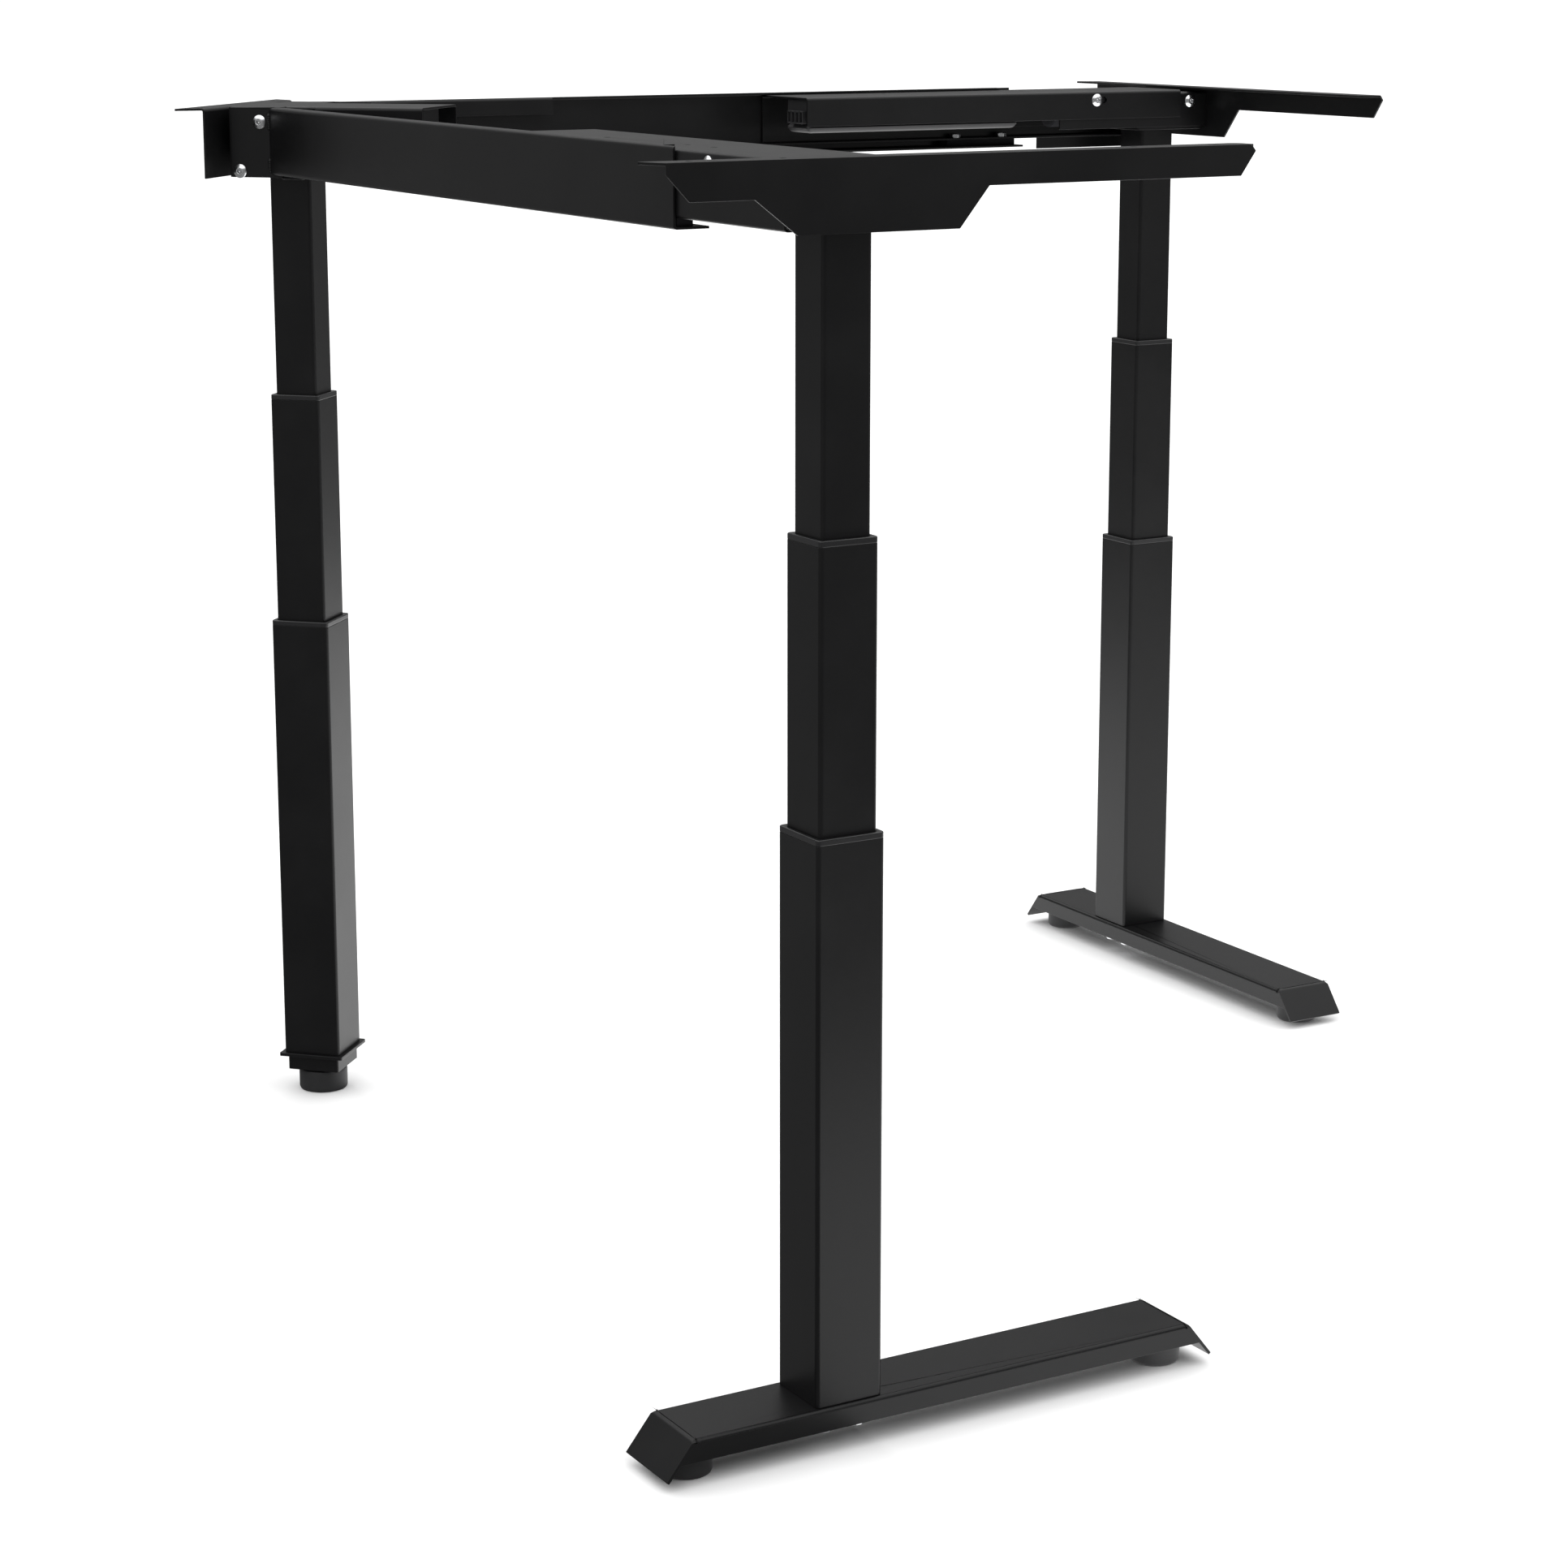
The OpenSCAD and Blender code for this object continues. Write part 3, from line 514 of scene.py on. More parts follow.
@dataclass(frozen=True)
class Metal:
    """Bare or plated metal: drawn streaks along one axis, and cloudy plating or a grease film."""

    name: str
    colour: Rgb
    tarnish: Rgb
    roughness: float
    streak: tuple[float, float, float]
    film: float = 0.35

    def build(self) -> bpy.types.Material:
        """The metal's material."""
        shader = Shader(self.name, {"Metallic": 1.0})
        streaks = shader.streaks(self.streak)
        clouds = shader.noise(180.0, 4.0, 0.6)
        share = shader.between(clouds * 0.7 + streaks * 0.3, 0.35, 0.70) * self.film
        shader.paint(
            shader.mixed(share, self.colour, self.tarnish),
            self.roughness + (streaks - 0.5) * 0.14 + (clouds - 0.5) * 0.10,
        )
        shader.relief(streaks * 0.6 + clouds * 0.4, 0.012 * MM)
        return shader.material


class Finish(Enum):
    """The finishes of the frame, by the record's slot names."""

    COAT = "black_powder_coat"
    COLLAR = "collar_plastic"
    GLIDE = "glide_plastic"
    PAD = "pad_plastic"
    ZINC = "zinc"
    SCREW = "screw_steel"
    NUT_TUBE = "nut_tube_steel"
    BOX = "box_plastic"
    MOTOR = "motor_housing"
    BLOCK = "block_steel"


RECIPES = {
    Finish.COAT: PowderCoat(),
    Finish.COLLAR: Moulded("collar_plastic", (0.006, 0.006, 0.0065), (0.010, 0.010, 0.011), 0.30, 1500.0, 0.010 * MM),
    Finish.GLIDE: Moulded("glide_plastic", (0.60, 0.58, 0.52), (0.70, 0.69, 0.64), 0.45, 700.0, 0.015 * MM),
    Finish.PAD: Moulded("pad_plastic", (0.009, 0.009, 0.010), (0.018, 0.018, 0.019), 0.58, 1900.0, 0.040 * MM),
    Finish.ZINC: Metal("zinc", (0.66, 0.67, 0.69), (0.48, 0.47, 0.42), 0.26, (900.0, 900.0, 120.0)),
    Finish.SCREW: Metal("screw_steel", (0.46, 0.46, 0.47), (0.13, 0.11, 0.08), 0.30, (2200.0, 2200.0, 60.0), 0.6),
    Finish.NUT_TUBE: Metal("nut_tube_steel", (0.38, 0.38, 0.39), (0.20, 0.18, 0.15), 0.36, (1500.0, 1500.0, 20.0), 0.5),
    Finish.BOX: Moulded("box_plastic", (0.010, 0.010, 0.011), (0.017, 0.017, 0.018), 0.50, 2600.0, 0.035 * MM),
    Finish.MOTOR: PowderCoat("motor_housing", (0.020, 0.020, 0.022), (0.035, 0.035, 0.037), 0.36, 0.02 * MM),
    Finish.BLOCK: PowderCoat("block_steel", (0.010, 0.010, 0.011), (0.020, 0.020, 0.021), 0.38, 0.02 * MM),
}


@dataclass
class Workshop:
    """Makes pieces, dresses them and hangs them on their bodies."""

    finishes: dict[Finish, bpy.types.Material] = field(default_factory=dict)

    def material(self, finish: Finish) -> bpy.types.Material:
        """A finish's material, built the first time it is asked for."""
        if finish not in self.finishes:
            self.finishes[finish] = RECIPES[finish].build()
        return self.finishes[finish]

    def piece(self, name: str, shape: Shape, body: str, finish: Finish, stands_for: str = "") -> bpy.types.Object:
        """Makes a smooth-shaded piece of the frame.

        Args:
            name: the piece's name.
            shape: its surface, in the frame's place.
            body: the body it rides on.
            finish: its finish.
            stands_for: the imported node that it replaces, if any.

        Returns:
            The piece's object.
        """
        quads = shape.quads
        single = (quads[:, 0] == quads[:, 1]) | (quads[:, 1] == quads[:, 2])
        wrapped = (quads[:, 2] == quads[:, 3]) | (quads[:, 3] == quads[:, 0])
        whole = quads[~single & ~wrapped].tolist()
        short = [list(dict.fromkeys(q)) for q in quads[single | wrapped].tolist()]
        mesh = bpy.data.meshes.new(name)
        mesh.from_pydata(shape.points.tolist(), [], whole + [q for q in short if len(q) == 3])
        mesh.polygons.foreach_set("use_smooth", np.ones(len(mesh.polygons), bool))
        mesh.materials.append(self.material(finish))
        mesh.update()
        piece = bpy.data.objects.new(name, mesh)
        bpy.context.scene.collection.objects.link(piece)
        self.keep_flats_flat(piece)
        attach(piece, body)
        if stands_for:
            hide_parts(stands_for)
        log.info("%s: %d faces on %s", name, len(mesh.polygons), body)
        return piece

    @staticmethod
    def keep_flats_flat(piece: bpy.types.Object) -> None:
        """Lets the large faces set the shading at each corner."""
        weighted = piece.modifiers.new("flat_faces", "WEIGHTED_NORMAL")
        weighted.weight = 90
        weighted.keep_sharp = True

    def dress(self, node: str, finish: Finish, edge: float) -> None:
        """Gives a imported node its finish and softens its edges.

        Args:
            node: the node's name.
            finish: its finish.
            edge: width of the rounding on its sharp edges, in metres.
        """
        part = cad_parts[node]
        if not part.material_slots:
            part.data.materials.append(None)
        for slot in part.material_slots:
            slot.material = self.material(finish)
        part.data.polygons.foreach_set("use_smooth", np.ones(len(part.data.polygons), bool))
        weld = part.modifiers.new("joined", "WELD")
        weld.merge_threshold = 0.002 * MM
        bevel = part.modifiers.new("soft_edges", "BEVEL")
        bevel.width = edge
        bevel.segments = 2
        bevel.limit_method = "ANGLE"
        bevel.angle_limit = math.radians(32)
        bevel.use_clamp_overlap = False
        bevel.miter_outer = "MITER_ARC"
        self.keep_flats_flat(part)
        log.info("%s: dressed as %s", node, finish.value)


# ---------------------------------------------------------------- sub-assemblies


SPACING = sum(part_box("leg_b_outer_tube")[i].x for i in (0, 1)) / 2
MIRROR = np.array([[0, -1, 0, 0], [-1, 0, 0, 0], [0, 0, 1, 0], [0, 0, 0, 1]], float)
LEG_B = moved(x=SPACING) @ turned_about("Z", 180)


@dataclass(frozen=True)
class Leg:
    """Where one leg stands and which bodies its stages belong to."""

    name: str
    place: Array
    base: str
    middle: str
    top: str


LEGS = (
    Leg("corner", turned_about("Z", -45), "corner_base", "corner_middle", "corner_top"),
    Leg("leg_a", MIRROR @ LEG_B, "leg_a_base", "leg_a_middle", "arm_a"),
    Leg("leg_b", LEG_B, "leg_b_base", "leg_b_middle", "arm_b"),
)


@dataclass
class Column:
    """The telescopic column of one leg."""

    leg: Leg
    workshop: Workshop
    outer: float = 70 * MM
    middle: float = 60 * MM
    inner: float = 50 * MM
    wall: float = 2 * MM
    corner: float = 4 * MM
    rim: float = 6 * MM
    gap: float = 0.35 * MM
    nut_height: float = 25 * MM

    def build(self) -> None:
        """Dresses the tubes and makes the collars, screws and spindle."""
        name = self.leg.name
        for part in ("outer_tube", "middle_tube", "inner_tube"):
            self.workshop.dress(f"{name}_{part}", Finish.COAT, 0.35 * MM)
        self.workshop.dress(f"{name}_nut_tube", Finish.NUT_TUBE, 0.25 * MM)
        for part in ("middle_glides", "inner_glides"):
            self.workshop.dress(f"{name}_{part}", Finish.GLIDE, 0.3 * MM)
        self.collar("outer_collar", self.outer, self.middle, self.leg.base)
        self.collar("middle_collar", self.middle, self.inner, self.leg.middle)
        self.hollow_screw()
        self.spindle()

    def collar(self, part: str, width: float, passing: float, body: str) -> None:
        """The guide in a tube's mouth: a flush rim with a rounded lip, and a skirt down inside the tube.

        Args:
            part: the collar's name after the leg's.
            width: width of the tube it sits in.
            passing: width of the tube that slides through it.
            body: the body it belongs to.
        """
        low, high = (corner.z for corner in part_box(f"{self.leg.name}_{part}"))
        outside, inside = width / 2, passing / 2 + self.gap
        skirt = outside - self.wall - 0.1 * MM
        seat = high - self.rim
        section = round_corners(
            [(inside, low), (skirt, low), (skirt, seat), (outside, seat), (outside, high), (inside, high)],
            1.1 * MM, 4,
        )
        lead_in = np.clip(section[:, 1] - (high - 1.0 * MM), 0, None)
        section[:, 0] += np.where(section[:, 0] < inside + 0.4 * MM, lead_in * 0.2, 0)
        radii = (self.corner + self.gap, self.corner)
        shape = squared(section, (inside, outside), radii).placed(self.leg.place)
        name = f"{self.leg.name}_{part}"
        self.workshop.piece(f"{name}_moulding", shape, body, Finish.COLLAR, name)

    def hollow_screw(self) -> None:
        """A hollow screw with a trapezoid thread outside, a flange and nut at its top."""
        name = f"{self.leg.name}_hollow_screw"
        low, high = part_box(name)
        shank, bore = 12 * MM, 9.5 * MM
        flange = (high.x - low.x) / 2
        root = high.z - self.nut_height
        radius, z = thread_rows(shank, 1.3 * MM, 5 * MM, low.z, root, 32)
        rim = round_corners(
            [(shank, root), (flange, root), (flange, high.z), (7.3 * MM, high.z), (7.3 * MM, root),
             (bore, root), (bore, low.z)],
            0.6 * MM, 3, closed=False,
        )
        radius = np.vstack([radius, rim[1:, :1] + 0 * radius[:1]])
        z = np.vstack([z, rim[1:, 1:] + 0 * z[:1]])
        centre = moved((low.x + high.x) / 2, (low.y + high.y) / 2)
        shape = turned_rows(radius, z, around=True).placed(centre)
        self.workshop.piece(f"{name}_threaded", shape, name, Finish.SCREW, name)

    def spindle(self) -> None:
        """The spindle, threaded up to a plain journal under the gearbox."""
        name = f"{self.leg.name}_spindle"
        low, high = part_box(name)
        radius = (high.x - low.x) / 2
        journal = high.z - 42 * MM
        rod = threaded_rod(radius, 0.9 * MM, 5 * MM, low.z, journal, 28)
        neck = turned(
            round_corners(
                [(0, journal - 1 * MM), (radius - 0.7 * MM, journal - 1 * MM), (radius - 0.7 * MM, high.z - 14 * MM),
                 (radius, high.z - 14 * MM), (radius, high.z), (0, high.z)],
                0.5 * MM, 3, closed=False,
            ),
            28,
        )
        centre = moved((low.x + high.x) / 2, (low.y + high.y) / 2)
        self.workshop.piece(f"{name}_threaded", (rod + neck).placed(centre), name, Finish.SCREW, name)


@dataclass
class Leveller:
    """A levelling foot: a tall round pad on a threaded stud."""

    node: str
    workshop: Workshop
    stud: float = 4 * MM
    pitch: float = 1.25 * MM

    @property
    def pad(self) -> float:
        """Height of the pad: the corner's is a little taller."""
        return (26 if self.node.startswith("corner") else 24) * MM

    def build(self) -> None:
        """Makes the pad and its stud."""
        low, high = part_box(self.node)
        radius = (high.x - low.x) / 2
        pad = round_corners(
            [(0, 0), (radius - 3.0 * MM, 0), (radius - 0.8 * MM, 1.0 * MM), (radius, 3.2 * MM),
             (radius, self.pad - 3 * MM), (radius - 0.6 * MM, self.pad), (12 * MM, self.pad),
             (11 * MM, self.pad - 1 * MM), (0, self.pad - 1 * MM)],
            1.2 * MM, 4, closed=False,
        )
        centre = moved((low.x + high.x) / 2, (low.y + high.y) / 2)
        self.workshop.piece(f"{self.node}_pad", turned(pad, 72).placed(centre), self.node, Finish.PAD, self.node)
        stud = threaded_rod(self.stud, 0.55 * MM, self.pitch, self.pad - 2 * MM, high.z, 20)
        self.workshop.piece(f"{self.node}_stud", stud.placed(centre), self.node, Finish.ZINC, self.node)


@dataclass
class Drive:
    """The gearbox and the motor that lies beside it in a leg's head."""

    leg: Leg
    workshop: Workshop
    width: float = 68 * MM
    back: float = -40 * MM
    front: float = 48 * MM
    motor_radius: float = 19.5 * MM
    motor_length: float = 112 * MM

    def build(self) -> None:
        """Makes the gearbox with its cover and screws, and the motor with its end cap."""
        node = f"{self.leg.name}_drive_motor"
        low, high = (corner.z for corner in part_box(node))
        side = self.width / 2
        split = low + 26 * MM
        case = rounded_block((self.back, -side, low), (self.front, side, split - 0.4 * MM), 9 * MM, 1.2 * MM)
        cover = rounded_block(
            (self.back + 0.6 * MM, -side + 0.6 * MM, split), (self.front - 0.6 * MM, side - 0.6 * MM, high - 1.6 * MM),
            9 * MM, 2.0 * MM,
        )
        seam = rounded_block(
            (self.back + 1.4 * MM, -side + 1.4 * MM, split - 1 * MM),
            (self.front - 1.4 * MM, side - 1.4 * MM, split + 1 * MM), 8 * MM, 0.3 * MM,
        )
        axis = low + 20.5 * MM
        can = round_corners(
            [(0, 0), (self.motor_radius, 0), (self.motor_radius, 70 * MM), (self.motor_radius - 1 * MM, 71 * MM),
             (self.motor_radius - 1 * MM, 73 * MM), (self.motor_radius, 74 * MM),
             (self.motor_radius, self.motor_length - 3 * MM), (self.motor_radius - 3 * MM, self.motor_length - 2 * MM),
             (9 * MM, self.motor_length - 2 * MM), (8 * MM, self.motor_length), (0, self.motor_length)],
            0.8 * MM, 3, closed=False,
        )
        motor = turned(can, 64).placed(moved(self.front, 0, axis) @ turned_about("Y", 90))
        housing = (case + cover + seam + motor).placed(self.leg.place)
        self.workshop.piece(f"{node}_housing", housing, self.leg.top, Finish.MOTOR, node)
        screws = None
        for x in (self.back + 8 * MM, self.front - 8 * MM):
            for y in (-side + 8 * MM, side - 8 * MM):
                screw = button_bolt(4 * MM, 3.6 * MM, 1.4 * MM, 2 * MM).placed(moved(x, y, high - 1.6 * MM))
                screws = screw if screws is None else screws + screw
        self.workshop.piece(f"{node}_screws", screws.placed(self.leg.place), self.leg.top, Finish.ZINC, node)


@dataclass
class Head:
    """The folded channel on a leg's top with what is bolted to it."""

    leg: Leg
    workshop: Workshop

    def build(self) -> None:
        """Dresses the head and its bracket."""
        name = self.leg.name
        self.workshop.dress(f"{name}_head", Finish.COAT, 0.35 * MM)
        bracket = "corner_bracket" if name == "corner" else f"{name}_side_bracket"
        self.workshop.dress(bracket, Finish.COAT, 0.4 * MM)


@dataclass
class Fasteners:
    """The visible bolts of the frame; each packed group is made again with chamfers and sockets."""

    workshop: Workshop
    head_start: float = 57 * MM
    sheet: float = 2.5 * MM
    plate_cut: float = 88 * MM
    head_bolt: float = 120 * MM
    bolt_drop: float = 11 * MM
    hex_head: float = 5.3 * MM
    clamp_offset: float = 45.5 * MM
    foot_pitch: float = 34 * MM
    rail_half: float = 56.5 * MM
    head_half: float = 53.4 * MM

    def build(self) -> None:
        """Makes every group of bolts."""
        self.corner_bolts()
        self.clamp_bolts()
        for leg in LEGS[1:]:
            self.head_bolts(leg)
            self.foot_bolts(leg)

    def corner_bolts(self) -> None:
        """Four bolts in the rail end plates and two in the corner bracket."""
        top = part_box("corner_head")[1].z
        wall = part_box("corner_head")[0].z
        spots = []
        for side in (1, -1):
            for x, drop in ((-8 * MM, 16 * MM), (-33 * MM, 71 * MM)):
                spots.append(moved(x, side * self.plate_cut, top - drop) @ turned_about("X", -90 * side))
        bracket = [
            moved(-self.head_start - self.sheet, side * 30 * MM, wall + 22 * MM) @ turned_about("Y", -90)
            for side in (1, -1)
        ]
        shape = None
        for spot in spots:
            bolt = button_bolt(14 * MM, 8 * MM, 4.4 * MM).placed(spot)
            shape = bolt if shape is None else shape + bolt
        for spot in bracket:
            shape = shape + hex_bolt(12 * MM).placed(spot)
        shape = shape.placed(LEGS[0].place)
        self.workshop.piece("corner_bolts_zinc", shape, "corner_top", Finish.ZINC, "corner_bolts")

    def clamp_bolts(self) -> None:
        """Two bolts down through each sliding rail's slot into the guide blocks."""
        low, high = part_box("rail_clamp_bolts")
        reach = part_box("beam_b_fixed_rail")[1].x
        head = high.z - self.hex_head
        shape = None
        for x in (reach - 90 * MM, reach - 20 * MM):
            for side in (np.eye(4), MIRROR):
                bolt = hex_bolt(head - low.z).placed(side @ moved(x, self.clamp_offset, head))
                shape = bolt if shape is None else shape + bolt
        self.workshop.piece("rail_clamp_bolts_zinc", shape, "corner_top", Finish.ZINC, "rail_clamp_bolts")

    def head_bolts(self, leg: Leg) -> None:
        """The bolts of one end head: one through each side of the rail, one beside the bracket, two inside."""
        side_of = np.eye(4) if leg.name == "leg_b" else MIRROR
        node = f"{leg.name}_head_bolts"
        rail_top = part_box(f"beam_{leg.name[-1]}_sliding_rail")[1].z
        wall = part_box(f"{leg.name}_head")[0].z
        shape = None
        for side in (1, -1):
            spot = moved(SPACING - self.head_bolt, side * self.rail_half, rail_top - self.bolt_drop)
            bolt = button_bolt(8.6 * MM, 8 * MM, 4.2 * MM).placed(spot @ turned_about("X", -90 * side))
            shape = bolt if shape is None else shape + bolt
        spot = moved(SPACING + 30 * MM, -self.head_half, rail_top - 15 * MM) @ turned_about("X", 90)
        shape = shape + button_bolt(6.5 * MM, 8 * MM, 4.2 * MM).placed(spot)
        for side in (1, -1):
            spot = moved(-self.head_start + self.sheet, side * 30 * MM, wall + 22 * MM) @ turned_about("Y", 90)
            shape = shape + hex_bolt(self.sheet).placed(LEG_B @ spot)
        self.workshop.piece(f"{node}_zinc", shape.placed(side_of), leg.top, Finish.ZINC, node)

    def foot_bolts(self, leg: Leg) -> None:
        """Four bolts up through the foot into the column's base."""
        node = f"{leg.name}_foot_bolts"
        low, high = (corner.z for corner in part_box(node))
        seat = low + self.hex_head
        shape = None
        half = self.foot_pitch / 2
        for x in (-half, half):
            for y in (-half, half):
                bolt = hex_bolt(high - seat).placed(moved(x, y, seat) @ turned_about("X", 180))
                shape = bolt if shape is None else shape + bolt
        self.workshop.piece(f"{node}_zinc", shape.placed(leg.place), leg.base, Finish.ZINC, node)


@dataclass
class Beams:
    """The two beams: fixed rails on the corner, sliding rails on the end legs, and the box under beam B."""

    workshop: Workshop
    box_seam: float = 13 * MM
    socket_depth: float = 6 * MM
    socket_pitch: float = 9.5 * MM

    def build(self) -> None:
        """Dresses the rails and adds the welds and the control box."""
        for node in ("beam_a_fixed_rail", "beam_b_fixed_rail", "beam_a_sliding_rail", "beam_b_sliding_rail",
                     "corner_head_ears"):
            self.workshop.dress(node, Finish.COAT, 0.35 * MM)
        self.workshop.dress("beam_guide_blocks", Finish.BLOCK, 0.4 * MM)
        self.welds()
        self.apron()
        self.control_box()

    def apron(self) -> None:
        """The deeper stretch of beam B's far web, from the fixed rail's mouth to the leg."""
        low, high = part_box("beam_b_sliding_rail")
        outside, sheet = high.y - 0.05 * MM, 2.4 * MM
        plate = rounded_block(
            (SPACING - 137 * MM, outside - sheet, low.z - 15 * MM), (SPACING + 10 * MM, outside, low.z + 8 * MM),
            1.0 * MM, 0.5 * MM,
        )
        self.workshop.piece("beam_b_apron", plate, "arm_b", Finish.COAT)

    def welds(self) -> None:
        """Beads where each fixed rail meets its end plate, and where the ears meet the corner head."""
        low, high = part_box("corner_head_ears")
        joint = 124.45 * MM
        web = 59.7 * MM
        rails = None
        for top, bottom in ((high.z - 6 * MM, high.z - 26 * MM), (low.z + 22 * MM, low.z + 5 * MM)):
            bead = weld_bead((joint - web, web, top), (joint - web, web, bottom))
            rails = bead if rails is None else rails + bead
        rails = rails + weld_bead((74 * MM, joint - 74 * MM, low.z), (94 * MM, joint - 94 * MM, low.z), 2.0 * MM)
        shape = rails + rails.placed(MIRROR)
        ears = None
        for side in (1, -1):
            for x in (-46 * MM, 12 * MM):
                for top in (high.z - 8 * MM, high.z - 34 * MM):
                    bead = weld_bead((x, side * 56.2 * MM, top), (x, side * 56.2 * MM, top - 14 * MM), 1.8 * MM)
                    ears = bead if ears is None else ears + bead
        shape = shape + ears.placed(LEGS[0].place)
        self.workshop.piece("corner_welds", shape, "corner_top", Finish.COAT)

    def control_box(self) -> None:
        """The drives' control box: a lower shell and a lid with a seam, and a row of socket rims on its inner end."""
        low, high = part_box("control_box")
        split = low.z + self.box_seam
        start = low.x + self.socket_depth
        shell = rounded_block((start, low.y, low.z), (high.x, high.y, split - 0.4 * MM), 5 * MM, 8 * MM)
        lid = rounded_block((start, low.y, split), (high.x, high.y, high.z), 5 * MM, 1.2 * MM)
        seam = rounded_block(
            (start + 1 * MM, low.y + 0.8 * MM, split - 1 * MM), (high.x - 0.8 * MM, high.y - 0.8 * MM, split + 1 * MM),
            4 * MM, 0.3 * MM,
        )
        shape = shell + lid + seam
        for i in range(4):
            y = low.y + 5 * MM + self.socket_pitch * i
            for z0, z1 in ((split - 1.5 * MM, split), (split + 12.4 * MM, split + 14 * MM)):
                shape = shape + rounded_block((low.x, y, z0), (start + 1 * MM, y + 8 * MM, z1), 0.6 * MM, 0.4 * MM)
            for y0 in (y, y + 6.6 * MM):
                shape = shape + rounded_block(
                    (low.x, y0, split - 0.6 * MM), (start + 1 * MM, y0 + 1.4 * MM, split + 13.4 * MM),
                    0.5 * MM, 0.4 * MM,
                )
        self.workshop.piece("control_box_case", shape, "arm_b", Finish.BOX, "control_box")


@dataclass
class Feet:
    """The feet and their levelling pads."""

    workshop: Workshop

    def build(self) -> None:
        """Dresses the feet and makes the levellers."""
        for node in ("corner_foot", "leg_a_foot", "leg_b_foot"):
            self.workshop.dress(node, Finish.COAT, 0.6 * MM)
        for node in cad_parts:
            if "leveller" in node:
                Leveller(node, self.workshop).build()


# ---------------------------------------------------------------- studio


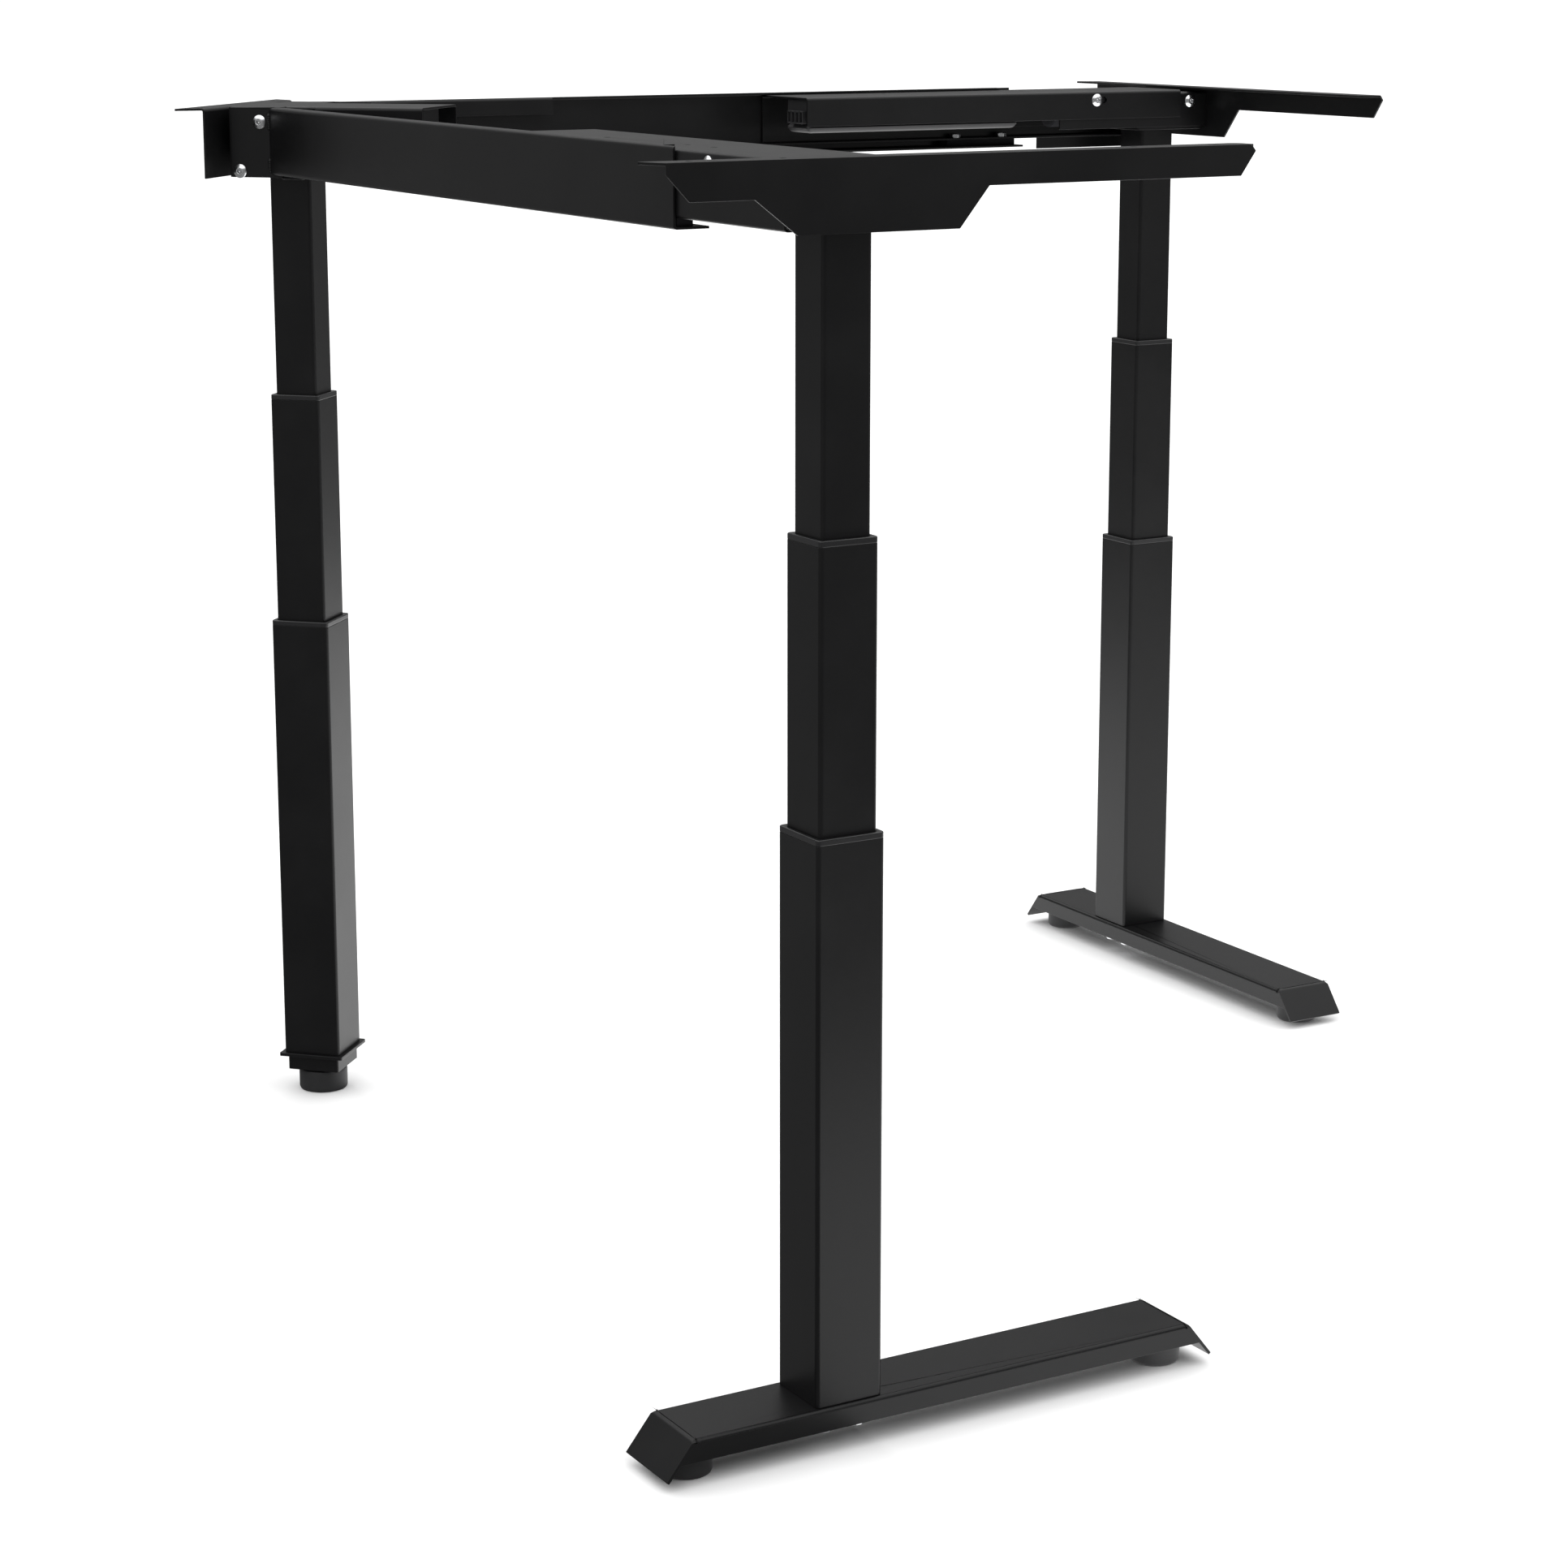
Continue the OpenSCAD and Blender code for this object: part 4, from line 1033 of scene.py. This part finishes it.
@dataclass
class Studio:
    """A white floor, soft lights and the camera.

    The room is dim to the black frame, so its faces stay dark. The sheet on the floor brightens the lower ends of the
    columns that mirror it.
    """

    position: tuple[float, float, float] = (-1.5718, -3.8226, 1.3405)
    yaw: float = 30.14
    pitch: float = 12.10
    lens: float = 80.80
    shift: float = -0.0445
    floor_half: float = 60.0
    sheet_low: tuple[float, float] = (0.03, -2.2)
    sheet_high: tuple[float, float] = (3.0, 1.7)
    seen_white: float = 1.05
    room: float = 0.26
    ceiling_power: float = 3.9
    window_power: float = 5.0
    sheet_glow: float = 0.8

    def build(self) -> None:
        """Sets up everything round the object."""
        self.camera()
        self.floor()
        self.sheet()
        self.sky()
        self.ceiling()
        self.light("left_window", (-3.4, -2.0, 1.7), (0.3, -0.4, 0.7), 1.6, 2.2, self.window_power)
        self.light("right_window", (3.2, -3.6, 1.5), (0.4, -0.4, 0.6), 1.4, 2.0, self.window_power)

    def camera(self) -> None:
        """The camera: it looks along the yaw, turned from +y towards +x, and down by the pitch."""
        yaw, pitch = math.radians(self.yaw), math.radians(self.pitch)
        ahead = Vector((math.sin(yaw) * math.cos(pitch), math.cos(yaw) * math.cos(pitch), -math.sin(pitch)))
        right = Vector((math.cos(yaw), -math.sin(yaw), 0.0))
        up = right.cross(ahead)
        data = bpy.data.cameras.new("camera")
        data.lens = self.lens
        data.sensor_width = 36.0
        data.shift_y = self.shift
        data.clip_end = 200.0
        camera = bpy.data.objects.new("camera", data)
        bpy.context.scene.collection.objects.link(camera)
        camera.matrix_world = Matrix((
            (right.x, up.x, -ahead.x, self.position[0]),
            (right.y, up.y, -ahead.y, self.position[1]),
            (right.z, up.z, -ahead.z, self.position[2]),
            (0.0, 0.0, 0.0, 1.0),
        ))
        bpy.context.scene.camera = camera

    def floor(self) -> None:
        """A plain pale floor; the frame's own reflections don't see it."""
        half = self.floor_half
        mesh = bpy.data.meshes.new("floor")
        mesh.from_pydata([(-half, -half, 0), (half, -half, 0), (half, half, 0), (-half, half, 0)], [], [(0, 1, 2, 3)])
        shader = Shader("pale_floor", {"Specular IOR Level": 0.2, "Roughness": 0.75})
        shader.feed(
            shader.bsdf.inputs["Base Color"],
            shader.mixed(shader.between(shader.noise(1.2), 0.3, 0.7), (0.88, 0.88, 0.88), (0.90, 0.90, 0.90)),
        )
        mesh.materials.append(shader.material)
        floor = bpy.data.objects.new("floor", mesh)
        bpy.context.scene.collection.objects.link(floor)
        floor.visible_glossy = False

    def sheet(self) -> None:
        """The white sheet on the floor that the lower ends of the columns mirror; only reflections see it."""
        (left, front), (right, back) = self.sheet_low, self.sheet_high
        height = 0.5 * MM
        mesh = bpy.data.meshes.new("sheet")
        corners = [(left, front, height), (right, front, height), (right, back, height), (left, back, height)]
        mesh.from_pydata(corners, [], [(0, 1, 2, 3)])
        white = (1.0, 1.0, 1.0, 1.0)
        shader = Shader("sheet", {"Base Color": white, "Emission Color": white, "Emission Strength": self.sheet_glow})
        mesh.materials.append(shader.material)
        sheet = bpy.data.objects.new("sheet", mesh)
        bpy.context.scene.collection.objects.link(sheet)
        sheet.visible_camera = sheet.visible_diffuse = sheet.visible_shadow = False

    def sky(self) -> None:
        """A surround that is white to the camera and dim to the frame."""
        world = bpy.data.worlds.new("surround")
        bpy.context.scene.world = world
        world.use_nodes = True
        tree = world.node_tree
        background = tree.nodes["Background"]
        background.inputs["Color"].default_value = (1.0, 1.0, 1.0, 1.0)
        ray = tree.nodes.new("ShaderNodeLightPath")
        strength = tree.nodes.new("ShaderNodeMath")
        strength.operation = "MULTIPLY_ADD"
        strength.inputs[1].default_value = self.seen_white - self.room
        strength.inputs[2].default_value = self.room
        tree.links.new(ray.outputs["Is Camera Ray"], strength.inputs[0])
        tree.links.new(strength.outputs["Value"], background.inputs["Strength"])
        bpy.context.scene.view_settings.view_transform = "Standard"

    def ceiling(self) -> None:
        """A wide, even light from above that keeps the whole floor white."""
        data = bpy.data.lights.new("ceiling", "SUN")
        data.energy = self.ceiling_power
        data.angle = math.radians(120)
        light = bpy.data.objects.new("ceiling", data)
        bpy.context.scene.collection.objects.link(light)
        light.location = (0.4, -0.4, 4.0)

    @staticmethod
    def light(name: str, place: Sequence[float], target: Sequence[float], width: float, height: float,
              power: float) -> None:
        """Adds a soft rectangular light.

        Args:
            name: the light's name.
            place: where it hangs.
            target: the point it faces.
            width: its width in metres.
            height: its height in metres.
            power: its power in watts.
        """
        data = bpy.data.lights.new(name, "AREA")
        data.shape = "RECTANGLE"
        data.size, data.size_y = width, height
        data.energy = power
        light = bpy.data.objects.new(name, data)
        bpy.context.scene.collection.objects.link(light)
        aim = (Vector(target) - Vector(place)).to_track_quat("-Z", "Y")
        light.matrix_world = Matrix.Translation(place) @ aim.to_matrix().to_4x4()


def main() -> None:
    """Builds the sub-assemblies in order, then the studio."""
    logging.basicConfig(level=logging.INFO, format="%(name)s: %(message)s")
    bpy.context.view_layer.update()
    workshop = Workshop()
    for leg in LEGS:
        Column(leg, workshop).build()
        Drive(leg, workshop).build()
        Head(leg, workshop).build()
    Beams(workshop).build()
    Feet(workshop).build()
    Fasteners(workshop).build()
    Studio().build()


if __name__ == "__main__":
    main()
